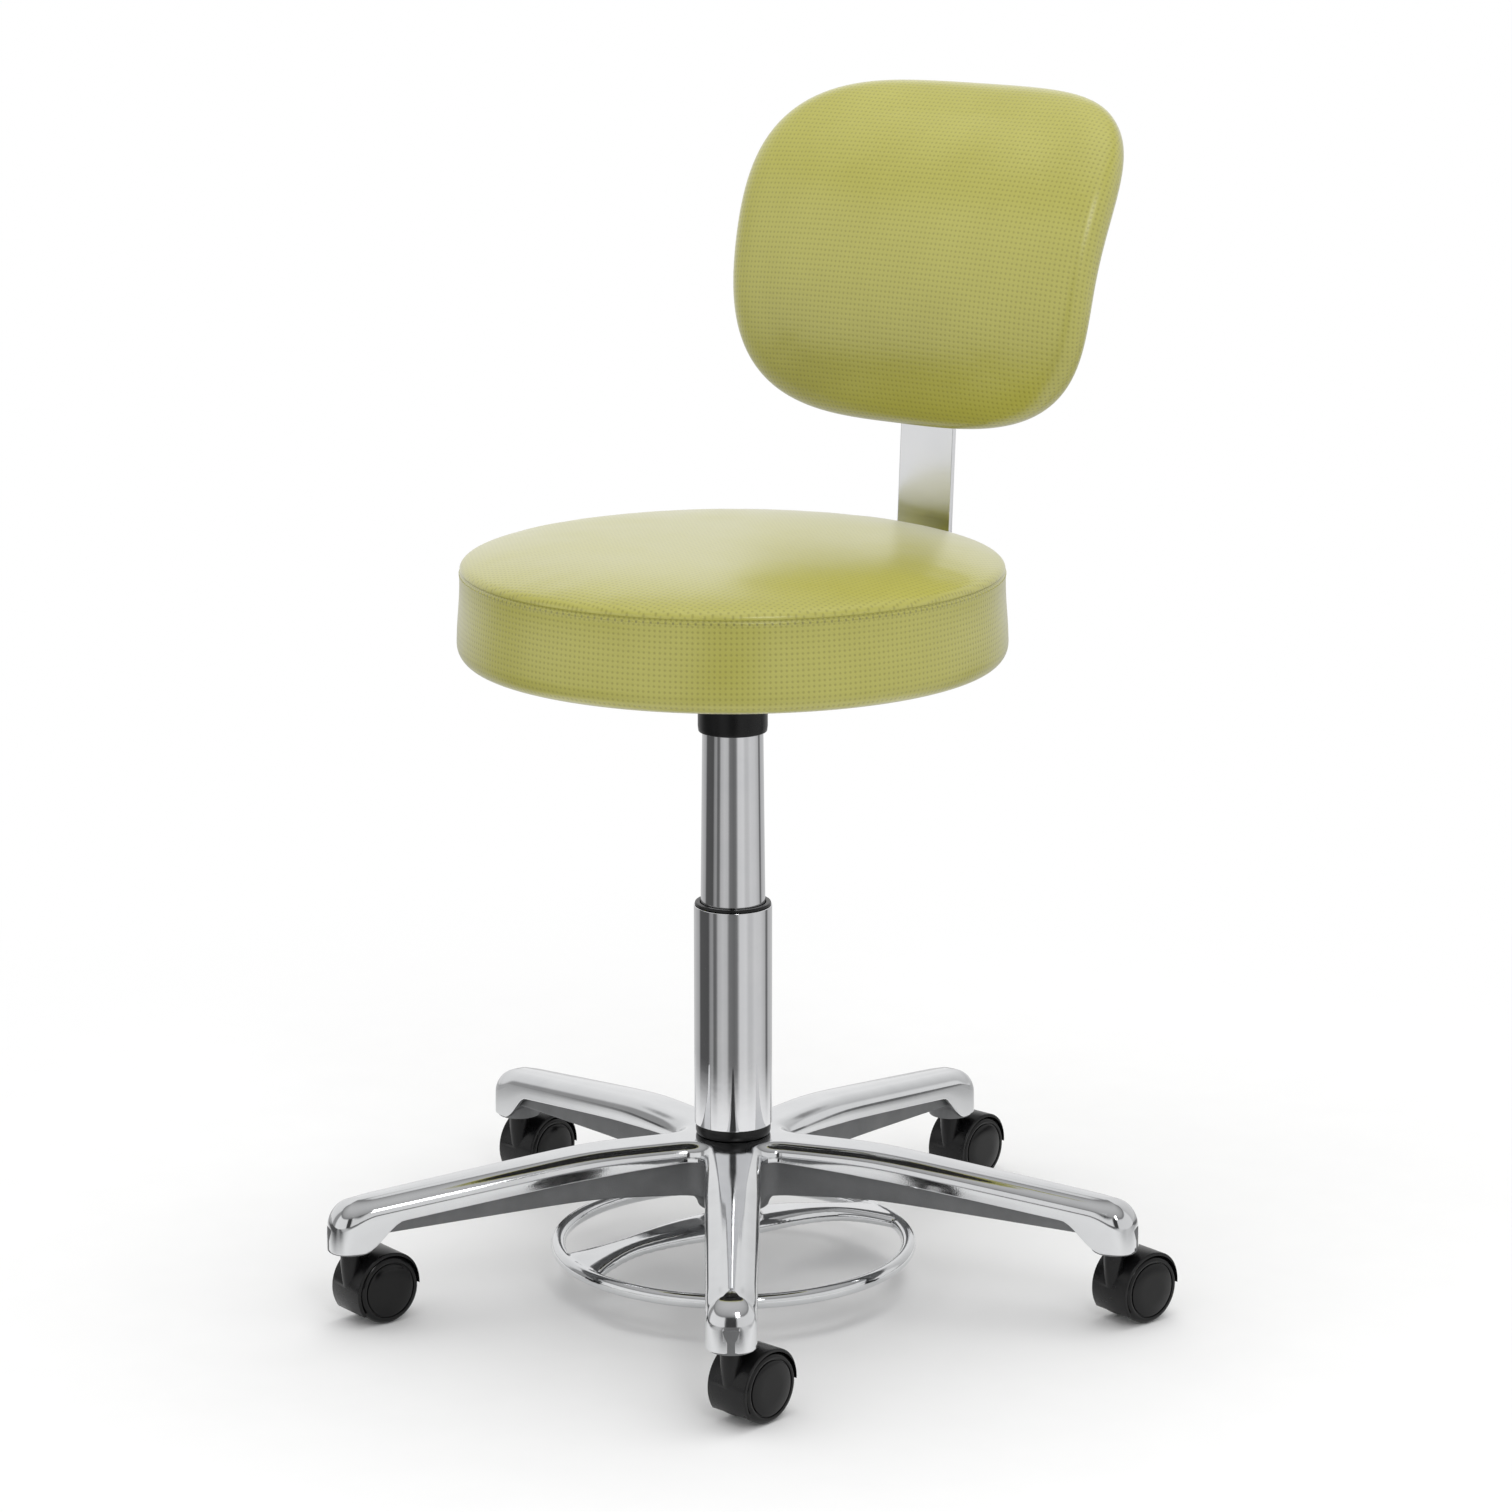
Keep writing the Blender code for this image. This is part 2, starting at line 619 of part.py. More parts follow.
def make_gas_spring():
    foot = TAPER_FOOT + TAPER_LIP + GAP
    top = CAP_FOOT - LIFT_TRAVEL - GAS_ROD_EXPOSED
    bore = GAS_CYLINDER_RADIUS - GAS_CYLINDER_WALL
    rod_bore = GAS_ROD_RADIUS + GAP
    pin_bore = VALVE_PIN_RADIUS + GAP
    cylinder = [
        (rod_bore, top),
        (GAS_CYLINDER_RADIUS, top),
        (GAS_CYLINDER_RADIUS, foot),
        (pin_bore, foot),
        (pin_bore, foot + GAS_CYLINDER_FLOOR),
        (bore, foot + GAS_CYLINDER_FLOOR),
        (bore, top - GAS_GLAND),
        (rod_bore, top - GAS_GLAND),
    ]
    piece("gas_cylinder", turned(cylinder, INNER_SIDES, ring=True), "black steel", "base")
    piston_top = top - GAS_GLAND - PISTON_DROP
    piston_foot = piston_top - PISTON_HEIGHT
    piston = tube_profile(rod_bore, bore - GAP, piston_foot, piston_top)
    piece("gas_piston", turned(piston, INNER_SIDES, ring=True), "black nylon", "lift")
    rod_top = INNER_TUBE_TOP - CAP_FLANGE
    rod = rod_profile(GAS_ROD_RADIUS, piston_foot, rod_top)
    piece("gas_rod", turned(rod, INNER_SIDES), "chrome", "lift")
    plug = INNER_TUBE_TOP_RADIUS - TUBE_WALL - GAP
    spindle_top = SOCKET_TOP - GAS_GLAND / 2
    cap = [
        (0.0, spindle_top),
        (SPINDLE_RADIUS, spindle_top),
        (SPINDLE_RADIUS, FLANGE_TOP),
        (INNER_TUBE_TOP_RADIUS, FLANGE_TOP),
        (INNER_TUBE_TOP_RADIUS, INNER_TUBE_TOP + GAP),
        (plug, INNER_TUBE_TOP + GAP),
        (plug, CAP_FOOT),
        (rod_bore, CAP_FOOT),
        (rod_bore, rod_top + GAP),
        (0.0, rod_top + GAP),
    ]
    piece("tube_cap", turned(cap, COLUMN_SIDES), "zinc plated steel", "lift")
    pin_low = ROCKER_TOP + GAP
    pin = [
        (0.0, pin_low + VALVE_PIN_LENGTH),
        (VALVE_PIN_RADIUS, pin_low + VALVE_PIN_LENGTH),
        (VALVE_PIN_RADIUS, pin_low + VALVE_PIN_RADIUS),
        (VALVE_PIN_RADIUS / 3, pin_low),
        (0.0, pin_low),
    ]
    piece("valve_pin", turned(pin, INNER_SIDES), "zinc plated steel", "valve")


# Foot release


def spoke_half(share):
    """Half width from the hub to the ring, where the spoke flares into the ring."""
    waist = SPOKE_ROOT_HALF + (SPOKE_MID_HALF - SPOKE_ROOT_HALF) * min(2 * share, 1.0)
    flare = max(share - SPOKE_FLARE_START, 0.0) / (1 - SPOKE_FLARE_START)
    return waist + (SPOKE_END_HALF - SPOKE_MID_HALF) * flare**2


def spoke(azimuth):
    """An arched bar from inside the hub to the middle of the ring's bar, with its upper edges broken."""
    along = heading(azimuth)
    across = Vector((-along.y, along.x, 0.0))
    start = RING_HUB_RADIUS / 2
    crest = RING_HUB_TOP - GAP
    ring_top = RING_HEIGHT + RING_BAR_RADIUS * SPOKE_IN_RING
    ring_depth = 2 * RING_BAR_RADIUS * SPOKE_IN_RING
    rings = []
    for step in range(SPOKE_STEPS + 1):
        share = step / SPOKE_STEPS
        reach = start + (RING_RADIUS - start) * share
        top = crest - (crest - ring_top) * share**SPOKE_ARCH_POWER
        low = top - SPOKE_DEPTH + (SPOKE_DEPTH - ring_depth) * share
        shoulder = top - SPOKE_DEPTH / 3
        half = spoke_half(share)
        flat = half - SPOKE_DEPTH / 3
        section = ((-half, shoulder), (-half, low), (half, low), (half, shoulder), (flat, top), (-flat, top))
        rings.append([along * reach + across * side + Vector((0, 0, z)) for side, z in section])
    return loft(rings)


def make_foot_release():
    ring = bmesh.new()
    facet = 2 * pi / RING_BAR_SIDES
    bar = [
        (RING_RADIUS + RING_BAR_RADIUS * cos(facet * step), RING_HEIGHT + RING_BAR_RADIUS * sin(facet * step))
        for step in range(RING_BAR_SIDES)
    ]
    turned(bar, RING_SIDES, ring=True, bm=ring)
    foot_ring = piece("foot_ring", ring, "polished aluminium", "foot_ring_body")
    hub_low = RING_HUB_TOP - RING_HUB_HEIGHT
    hub = turned(rod_profile(RING_HUB_RADIUS, hub_low, RING_HUB_TOP), COLUMN_SIDES)
    boolean(foot_ring, "UNION", helper("ring_hub", hub, "foot_ring_body"))
    for side in range(2):
        arm = spoke(RING_AZIMUTH + 180 * side)
        boolean(foot_ring, "UNION", helper("ring_spoke_%d" % (side + 1), arm, "foot_ring_body"))
    screw_bore = rod_profile(SCREW_RADIUS + GAP, hub_low - PLAY, RING_HUB_TOP + PLAY)
    boolean(foot_ring, "DIFFERENCE", helper("screw_bore", turned(screw_bore, INNER_SIDES), "foot_ring_body"))
    stem_foot = RING_HUB_TOP + GAP
    thread_top = ROCKER_REST - PLAY
    rocker = [
        (0.0, ROCKER_TOP),
        (ROCKER_RADIUS, ROCKER_TOP),
        (ROCKER_RADIUS, ROCKER_REST),
        (ROCKER_STEM_RADIUS, ROCKER_REST),
        (ROCKER_STEM_RADIUS, stem_foot),
        (SCREW_RADIUS + GAP, stem_foot),
        (SCREW_RADIUS + GAP, thread_top),
        (0.0, thread_top),
    ]
    piece("rocker", turned(rocker, INNER_SIDES), "zinc plated steel", "foot_ring_body")
    head_top = hub_low - GAP
    screw = [
        (0.0, thread_top - GAP),
        (SCREW_RADIUS, thread_top - GAP),
        (SCREW_RADIUS, head_top),
        (2 * SCREW_RADIUS, head_top),
        (2 * SCREW_RADIUS, head_top - SCREW_RADIUS),
        (0.0, head_top - SCREW_RADIUS),
    ]
    piece("rocker_screw", turned(screw, INNER_SIDES), "zinc plated steel", "foot_ring_body")
    ring_low = RETAINING_RING_TOP - RETAINING_RING_HEIGHT
    retainer = tube_profile(RETAINING_RING_BORE, CAVITY_RADIUS - GAP, ring_low, RETAINING_RING_TOP)
    piece("retaining_ring", turned(retainer, COLUMN_SIDES, ring=True), "zinc plated steel", "base")


# Seat


def bolt(place, head_low, tip):
    """A pan-headed bolt along the Z axis of its place, with its head low."""
    profile = [
        (0.0, tip),
        (BOLT_RADIUS, tip),
        (BOLT_RADIUS, head_low + BOLT_HEAD),
        (BOLT_HEAD_RADIUS, head_low + BOLT_HEAD),
        (BOLT_HEAD_RADIUS * BOLT_HEAD_TAPER, head_low),
        (0.0, head_low),
    ]
    bm = turned(profile, BORE_SIDES)
    bmesh.ops.transform(bm, matrix=place, verts=bm.verts)
    return bm


def make_seat_swivel():
    bush_bore = SPINDLE_RADIUS + GAP
    bush_radius = bush_bore + BUSH_WALL
    bush = tube_profile(bush_bore, bush_radius, SOCKET_FOOT + GAP, SOCKET_TOP - GAP)
    piece("swivel_bush", turned(bush, INNER_SIDES, ring=True), "black nylon", "seat")
    socket = tube_profile(bush_radius + GAP, bush_radius + GAP + SOCKET_WALL, SOCKET_FOOT, SOCKET_TOP)
    piece("seat_socket", turned(socket, INNER_SIDES, ring=True), "zinc plated steel", "seat")
    collar_foot = INNER_TUBE_TOP - COLLAR_LAP
    collar_bore = COLLAR_RADIUS - COLLAR_WALL
    collar = [
        (collar_bore, SOCKET_TOP),
        (COLLAR_RADIUS, SOCKET_TOP),
        (COLLAR_RADIUS, collar_foot + COLLAR_WALL),
        (COLLAR_RADIUS - COLLAR_WALL / 3, collar_foot),
        (collar_bore, collar_foot),
    ]
    piece("seat_collar", turned(collar, COLUMN_SIDES, ring=True), "black nylon", "seat")


def make_seat():
    plate_top = PLATE_UNDERSIDE + PLATE_THICKNESS
    outline = rounded_rectangle(PLATE_SIDE, PLATE_SIDE, BOLT_HEAD_RADIUS * 2)
    plate = piece("seat_plate", slab(outline, PLATE_UNDERSIDE, plate_top), "black steel", "seat")
    board_radius = SEAT_RADIUS - BOARD_MARGIN
    board_top = SEAT_UNDERSIDE + BOARD_THICKNESS
    board_profile = rod_profile(board_radius, SEAT_UNDERSIDE, board_top)
    board = piece("seat_board", turned(board_profile, SEAT_SIDES), "plywood", "seat")
    offset = PLATE_BOLT_OFFSET
    places = [Matrix.Translation((x * offset, y * offset, 0.0)) for x in (-1, 1) for y in (-1, 1)]
    head_low = PLATE_UNDERSIDE - GAP - BOLT_HEAD
    tip = board_top - PLAY
    for number, place in enumerate(places):
        piece("plate_bolt_%d" % (number + 1), bolt(place, head_low, tip), "zinc plated steel", "seat")
    holes = rods(places, BOLT_RADIUS + GAP, PLATE_UNDERSIDE - PLAY, board_top + PLAY)
    drill = helper("plate_holes", holes, "seat")
    boolean(plate, "DIFFERENCE", drill)
    boolean(board, "DIFFERENCE", drill)
    piece("seat_cushion", seat_cushion(board_radius + GAP, board_top + GAP), "olive vinyl", "seat")


def seat_cushion(recess_radius, recess_top):
    """A crowned top panel and a bulging band, drawn in where the seam joins them."""
    seam_radius = SEAT_RADIUS - SEAM_INSET
    profile = []
    for step in range(CROWN_STEPS + 1):
        share = sin(pi / 2 * step / CROWN_STEPS)
        height = SEAM_HEIGHT + SEAT_CROWN * (1 - share**SEAT_CROWN_FLATNESS) ** SEAT_CROWN_ROUNDNESS
        profile.append((seam_radius * share, height))
    profile.append((seam_radius - SEAM_INSET / 3, SEAM_HEIGHT - SEAM_INSET / 2))
    profile.append((seam_radius, SEAM_HEIGHT - SEAM_INSET))
    edge_height = SEAT_UNDERSIDE + SEAT_EDGE
    for step in range(1, BAND_STEPS + 1):
        share = step / BAND_STEPS
        height = SEAM_HEIGHT - SEAM_INSET - (SEAM_HEIGHT - SEAM_INSET - edge_height) * share
        profile.append((seam_radius + SEAM_INSET * sin(pi / 2 * min(2 * share, 1.0)), height))
    for step in range(1, EDGE_STEPS + 1):
        angle = pi / 2 * step / EDGE_STEPS
        profile.append((SEAT_RADIUS - SEAT_EDGE * (1 - cos(angle)), edge_height - SEAT_EDGE * sin(angle)))
    profile.append((recess_radius, SEAT_UNDERSIDE))
    profile.append((recess_radius, recess_top))
    profile.append((0.0, recess_top))
    return turned(profile, SEAT_SIDES)


# Backrest bar, its brackets and clamp knobs


def bar_path():
    """Points (y, z) along the bar's inner face, each with the direction in which the bar runs."""
    knee = BACK_TILT - BAR_LEAN
    first_bend = pi / 2 - BAR_LEAN
    upright_y = SEAT_RADIUS + BAR_STANDOFF
    place = Vector((BAR_INNER_END, BAR_TOP_FACE))
    path = [(place.copy(), 0.0)]
    bend_start = Vector((upright_y - BAR_BEND_RADIUS * sin(first_bend), BAR_TOP_FACE))
    for step in range(BEND_STEPS + 1):
        angle = first_bend * step / BEND_STEPS
        offset = Vector((sin(angle), 1 - cos(angle))) * BAR_BEND_RADIUS
        path.append((bend_start + offset, angle))
    place = path[-1][0] + BAR_UPRIGHT * Vector((cos(first_bend), sin(first_bend)))
    face_radius = BAR_KNEE_RADIUS + BAR_THICKNESS
    centre = place + face_radius * Vector((sin(first_bend), -cos(first_bend)))
    for step in range(BEND_STEPS + 1):
        angle = first_bend - knee * step / BEND_STEPS
        path.append((centre + face_radius * Vector((-sin(angle), cos(angle))), angle))
    angle = first_bend - knee
    path.append((path[-1][0] + BAR_UPPER_LEG * Vector((cos(angle), sin(angle))), angle))
    return path


def back_frame():
    """On the bar's front face at the bracket: local X across, Y out to the rear, Z up along the bar."""
    knee_end, angle = bar_path()[-2]
    place = knee_end + BRACKET_STATION * Vector((cos(angle), sin(angle)))
    return Matrix.Translation((0.0, place.x, place.y)) @ Matrix.Rotation(-BACK_TILT, 4, "X")


def make_back_bar():
    rings = []
    for place, angle in bar_path():
        under = place + BAR_THICKNESS * Vector((sin(angle), -cos(angle)))
        half = BAR_WIDTH / 2
        rings.append(
            [(-half, place.x, place.y), (half, place.x, place.y), (half, under.x, under.y), (-half, under.x, under.y)]
        )
    piece("back_bar", loft(rings), "chrome", "back_bar_body")


def hat_outline():
    """Section (across, away from the board) of a strap that runs over the bar with a flange at each side."""
    inner = BAR_WIDTH / 2 + PLAY
    outer = inner + BRACKET_WALL
    reach = outer + BRACKET_FLANGE
    depth = BAR_THICKNESS + PLAY
    corner = BRACKET_WALL / 2
    right = [
        (inner, 0.0),
        (reach, 0.0),
        (reach, BRACKET_WALL),
        (outer, BRACKET_WALL),
        (outer, depth + BRACKET_WALL - corner),
        (outer - corner, depth + BRACKET_WALL),
    ]
    left = [(-across, away) for across, away in reversed(right)]
    return right + left + [(-inner, depth), (inner, depth)]


def bracket(name, frame, length, body):
    """The strap with a bore for the knob's stud; local X across, Y away from the board, Z along the bar."""
    outline = hat_outline()
    strap = loft([[frame @ Vector((x, y, z)) for x, y in outline] for z in (-length / 2, length / 2)])
    outside = BAR_THICKNESS + PLAY + BRACKET_WALL + PLAY
    away = frame @ Matrix.Rotation(-pi / 2, 4, "X")
    obj = piece(name, strap, "zinc plated steel", body)
    drill = rods([away], KNOB_STUD_RADIUS + GAP, BAR_THICKNESS / 2, outside)
    boolean(obj, "DIFFERENCE", helper(name + "_bore", drill, body))
    return obj


def knob(name, frame, body):
    """A lobed clamp knob on a stud, in the bracket's frame, loosened so that the bar can slide."""
    tip = BAR_THICKNESS + KNOB_STUD_RELEASE
    seat = BAR_THICKNESS + PLAY + BRACKET_WALL + GAP
    top = seat + KNOB_HEIGHT
    sides = 4 * KNOB_LOBES
    turns = [2 * pi * side / sides for side in range(sides)]

    def ring(radius, away, lobe):
        radii = [radius - lobe * (1 - cos(KNOB_LOBES * turn)) / 2 for turn in turns]
        return [Vector((r * sin(turn), away, r * cos(turn))) for r, turn in zip(radii, turns)]

    rings = [
        ring(KNOB_STUD_RADIUS, tip, 0.0),
        ring(KNOB_STUD_RADIUS, seat, 0.0),
        ring(KNOB_RADIUS / 2, seat, 0.0),
        ring(KNOB_RADIUS / 2, seat + KNOB_HEIGHT / 4, 0.0),
        ring(KNOB_RADIUS, seat + KNOB_HEIGHT / 3, KNOB_LOBE_DEPTH),
        ring(KNOB_RADIUS, top - KNOB_LOBE_DEPTH, KNOB_LOBE_DEPTH),
        ring(KNOB_RADIUS - KNOB_LOBE_DEPTH, top, KNOB_LOBE_DEPTH),
    ]
    bm = loft([[frame @ point for point in points] for points in rings])
    piece(name, bm, "black nylon", body)


def seat_bracket_frame():
    """Under the board: local Y points down, away from the board, and local Z along the bar to the rear."""
    middle = SEAT_BRACKET_START + SEAT_BRACKET_LENGTH / 2
    return Matrix.Translation((0.0, middle, BAR_TOP_FACE)) @ Matrix.Rotation(-pi / 2, 4, "X")


# Backrest cushion


def cushion_point(across, up, side):
    """A point of the cushion from its unit outline: side is -1 in front, 1 behind."""
    fullness = BACK_EDGE_FULLNESS
    middle = frames["backrest"] @ Vector((0.0, BACK_INSET - BACK_THICKNESS / 2, BACK_RISE))
    edge = min(outline_share(across, up), 1.0)
    half = side * BACK_THICKNESS / 2 * (1 - edge**fullness) ** (1 / fullness)
    x = across * BACK_WIDTH / 2 * (1 + BACK_TAPER * up)
    z = up * BACK_HEIGHT / 2
    lean = atan(tan(BACK_TILT) + BACK_BEND * z + BACK_BEND_GROWTH * z * z / 2)
    y = tan(BACK_TILT) * z + BACK_BEND * z * z / 2 + BACK_BEND_GROWTH * z**3 / 6
    y -= (BACK_WRAP + BACK_WRAP_GROWTH * z) * x * x / 2
    return Vector((x, middle.y + y + half * cos(lean), middle.z + z - half * sin(lean)))


def outline_share(across, up):
    """How far out a unit point lies: 0 at the middle, 1 on the cushion's outline."""
    squareness = BACK_TOP_SQUARENESS if up > 0 else BACK_BOTTOM_SQUARENESS
    return (abs(across) ** squareness + abs(up) ** squareness) ** (1 / squareness)


def back_cushion():
    sides = BACK_SIDES
    bm = bmesh.new()

    def ring(share, side):
        points = []
        for turn in range(sides):
            angle = 2 * pi * turn / sides
            power = 2 / (BACK_TOP_SQUARENESS if sin(angle) > 0 else BACK_BOTTOM_SQUARENESS)
            across = abs(cos(angle)) ** power * (1 if cos(angle) > 0 else -1)
            up = abs(sin(angle)) ** power * (1 if sin(angle) > 0 else -1)
            points.append(cushion_point(across * share, up * share, side))
        return points

    shares = [sin(pi / 2 * step / BACK_STEPS) for step in range(1, BACK_STEPS)]
    rings = [ring(share, -1) for share in shares] + [ring(1.0, 0)]
    rings += [ring(share, 1) for share in reversed(shares)]
    loops = [[bm.verts.new(point) for point in points] for points in rings]
    for low, high in zip(loops, loops[1:]):
        for index in range(sides):
            after = (index + 1) % sides
            bm.faces.new((low[index], low[after], high[after], high[index]))
    for loop, side in ((loops[0], -1), (loops[-1], 1)):
        crown = bm.verts.new(cushion_point(0.0, 0.0, side))
        for index in range(sides):
            bm.faces.new((loop[index], loop[(index + 1) % sides], crown))
    return bm


def back_slab(width, low, high, front, rear, corner):
    """A rounded plate in the backrest's frame, from front to rear, between two heights along the bar."""
    outline = rounded_rectangle(width, high - low, corner)
    middle = (high + low) / 2
    rings = [[frames["backrest"] @ Vector((x, y, z + middle)) for x, z in outline] for y in (front, rear)]
    return loft(rings)


def make_backrest():
    frame = frames["backrest"]
    front = -GAP - BACK_BOARD_THICKNESS
    plain = back_slab(BACK_BOARD_WIDTH, -BACK_BOARD_BELOW, BACK_BOARD_ABOVE, front, -GAP, BACK_BOARD_CORNER)
    board = piece("back_board", plain, "black nylon", "backrest")
    low = -BACK_BOARD_BELOW - GAP
    high = BACK_BOARD_ABOVE + GAP
    width = BACK_BOARD_WIDTH + 2 * GAP
    pocket = back_slab(width, low, high, front - GAP, BACK_THICKNESS, BACK_BOARD_CORNER)
    groove_width = BAR_WIDTH + 2 * GROOVE_PLAY
    groove = back_slab(groove_width, -BACK_HEIGHT, 0.0, -GROOVE_PLAY, BACK_THICKNESS, GROOVE_PLAY)
    cushion = piece("back_cushion", back_cushion(), "olive vinyl", "backrest")
    boolean(cushion, "DIFFERENCE", helper("board_pocket", pocket, "backrest"))
    boolean(cushion, "DIFFERENCE", helper("bar_groove", groove, "backrest"))
    strap = bracket("back_bracket", frame, BACK_BRACKET_LENGTH, "backrest")
    reach = BAR_WIDTH / 2 + PLAY + BRACKET_WALL + BRACKET_FLANGE / 2
    inwards = Matrix.Rotation(pi / 2, 4, "X")
    places = [frame @ Matrix.Translation((side * reach, 0.0, 0.0)) @ inwards for side in (-1, 1)]
    head_low = -BRACKET_WALL - GAP - BOLT_HEAD
    tip = BACK_BOARD_THICKNESS - PLAY
    for number, place in enumerate(places):
        piece("bracket_bolt_%d" % (number + 1), bolt(place, head_low, tip), "zinc plated steel", "backrest")
    holes = rods(places, BOLT_RADIUS + GAP, head_low, 2 * BACK_BOARD_THICKNESS)
    drill = helper("bracket_holes", holes, "backrest")
    boolean(strap, "DIFFERENCE", drill)
    boolean(board, "DIFFERENCE", drill)


# Casters


def hood_mesh():
    """A drum over both wheels, open below and at the sides, with a web between the wheels and the stem's post."""
    axle = Matrix.Translation((0.0, CASTER_TRAIL, WHEEL_RADIUS)) @ Matrix.Rotation(pi / 2, 4, "Y")
    outline = []
    for step in range(HOOD_STEPS + 1):
        angle = HOOD_REAR_ANGLE + (HOOD_FRONT_ANGLE - HOOD_REAR_ANGLE) * step / HOOD_STEPS
        outline.append((CASTER_TRAIL + HOOD_RADIUS * cos(angle), WHEEL_RADIUS + HOOD_RADIUS * sin(angle)))
    drum = loft([[(x, y, z) for y, z in outline] for x in (-HOOD_WIDTH / 2, HOOD_WIDTH / 2)])
    hood = helper("hood_drum", drum, "base")
    cavity_radius = (WHEEL_RADIUS + HOOD_PLAY) / cos(pi / COLUMN_SIDES)
    for side in (-1, 1):
        ends = sorted((side * HOOD_WEB / 2, side * HOOD_WIDTH))
        cavity = rods([axle], cavity_radius, *ends, COLUMN_SIDES)
        boolean(hood, "DIFFERENCE", helper("wheel_space_%d" % side, cavity, "base"))
    post_top = BOSS_UNDERSIDE - GAP
    stem_foot = BOSS_UNDERSIDE - STEM_IN_HOOD
    upright = Matrix.Identity(4)
    post = rods([upright], POST_RADIUS, stem_foot - POST_RADIUS, post_top, INNER_SIDES)
    boolean(hood, "UNION", helper("hood_post", post, "base"))
    stem_bore = rods([upright], STEM_RADIUS + GAP, stem_foot, post_top + PLAY)
    boolean(hood, "DIFFERENCE", helper("stem_bore", stem_bore, "base"))
    axle_bore = rods([axle], AXLE_RADIUS + GAP, -HOOD_WIDTH, HOOD_WIDTH)
    boolean(hood, "DIFFERENCE", helper("axle_bore", axle_bore, "base"))
    bpy.context.view_layer.update()
    graph = bpy.context.evaluated_depsgraph_get()
    mesh = bpy.data.meshes.new_from_object(hood.evaluated_get(graph))
    mesh.name = "caster hood"
    for obj in [hood] + [modifier.object for modifier in hood.modifiers]:
        bpy.data.objects.remove(obj)
    return mesh


def wheel_mesh():
    """A cupped wheel about Z, its outer face up: raised disc, groove, rim, tread, open inside, hub."""
    face = CASTER_WIDTH / 2
    tread = WHEEL_RADIUS / cos(pi / WHEEL_SIDES)
    bore = AXLE_RADIUS + GAP
    profile = [
        (0.0, face - WHEEL_DISC_SINK),
        (WHEEL_DISC_RADIUS, face - WHEEL_DISC_SINK),
        (WHEEL_DISC_RADIUS + WHEEL_GROOVE, face - WHEEL_GROOVE),
        (tread - WHEEL_GROOVE, face),
        (tread, face - WHEEL_GROOVE),
        (tread, face - WHEEL_WIDTH),
        (tread - WHEEL_RIM, face - WHEEL_WIDTH),
        (tread - WHEEL_RIM, face - WHEEL_RIM),
        (WHEEL_HUB_RADIUS, face - WHEEL_RIM),
        (WHEEL_HUB_RADIUS, HOOD_WEB / 2 + GAP),
        (bore, HOOD_WEB / 2 + GAP),
        (bore, face - WHEEL_RIM),
        (0.0, face - WHEEL_RIM),
    ]
    return shaded_mesh("caster wheel", turned(profile, WHEEL_SIDES), "black nylon")


def make_casters():
    axle_half = CASTER_WIDTH / 2 - WHEEL_RIM - GAP
    axle = rods([Matrix.Identity(4)], AXLE_RADIUS, -axle_half, axle_half)
    axle_mesh = shaded_mesh("caster axle", axle, "zinc plated steel")
    stem_low = BOSS_UNDERSIDE - STEM_IN_HOOD + GAP
    stem_profile = [
        (0.0, BOSS_UNDERSIDE + STEM_IN_BASE),
        (STEM_RADIUS - PLAY, BOSS_UNDERSIDE + STEM_IN_BASE),
        (STEM_RADIUS, BOSS_UNDERSIDE + STEM_IN_BASE - STEM_RADIUS),
        (STEM_RADIUS, stem_low),
        (0.0, stem_low),
    ]
    stem_mesh = shaded_mesh("caster stem", turned(stem_profile, BORE_SIDES), "zinc plated steel")
    hood = hood_mesh()
    wheel = wheel_mesh()
    for number, place in enumerate(stem_places()):
        name = "caster_%d" % (number + 1)
        stem = placed(name + "_stem", stem_mesh, "base")
        stem.location = place.translation
        swivel = standing_frame(CASTER_AZIMUTHS[number], place.translation)
        moving_body(name + "_swivel", "base", swivel)
        placed(name + "_hood", hood, name + "_swivel")
        centre = swivel @ Matrix.Translation((0.0, CASTER_TRAIL, WHEEL_RADIUS))
        for side, turn in (("left", -pi / 2), ("right", pi / 2)):
            spin = "%s_%s_spin" % (name, side)
            moving_body(spin, name + "_swivel", centre @ Matrix.Rotation(turn, 4, "Y"))
            placed("%s_%s_wheel" % (name, side), wheel, spin)
        pin = placed(name + "_axle", axle_mesh, name + "_swivel")
        pin.location = (0.0, CASTER_TRAIL, WHEEL_RADIUS)
        pin.rotation_euler = (0.0, pi / 2, 0.0)


def main():
    for obj in list(bpy.data.objects):
        bpy.data.objects.remove(obj)
    moving_body("base", None, Matrix.Identity(4))
    make_base()
    moving_body("lift", "base", Matrix.Translation((0.0, 0.0, INNER_TUBE_FOOT)))
    make_column()
    moving_body("valve", "base", Matrix.Translation((0.0, 0.0, ROCKER_TOP)))
    make_gas_spring()
    pivot = heading(RING_AZIMUTH) * ROCKER_RADIUS + Vector((0.0, 0.0, ROCKER_REST))
    moving_body("foot_ring_body", "base", standing_frame(RING_AZIMUTH, pivot))
    make_foot_release()
    moving_body("seat", "lift", Matrix.Translation((0.0, 0.0, SOCKET_FOOT)))
    make_seat_swivel()
    make_seat()
    moving_body("back_bar_body", "seat", Matrix.Translation((0.0, BAR_INNER_END, BAR_TOP_FACE)))
    make_back_bar()
    under_seat = seat_bracket_frame()
    bracket("bar_bracket", under_seat, SEAT_BRACKET_LENGTH, "seat")
    moving_body("depth_knob_axis", "seat", under_seat)
    knob("depth_knob", under_seat, "depth_knob_axis")
    moving_body("backrest", "back_bar_body", back_frame())
    make_backrest()
    moving_body("height_knob_axis", "backrest", frames["backrest"])
    knob("height_knob", frames["backrest"], "height_knob_axis")
    make_casters()


main()
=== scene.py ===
from math import atan, cos, hypot, pi, radians, sin, tan

import bmesh
import bpy
import numpy as np
from mathutils import Matrix, Vector
from mathutils.kdtree import KDTree


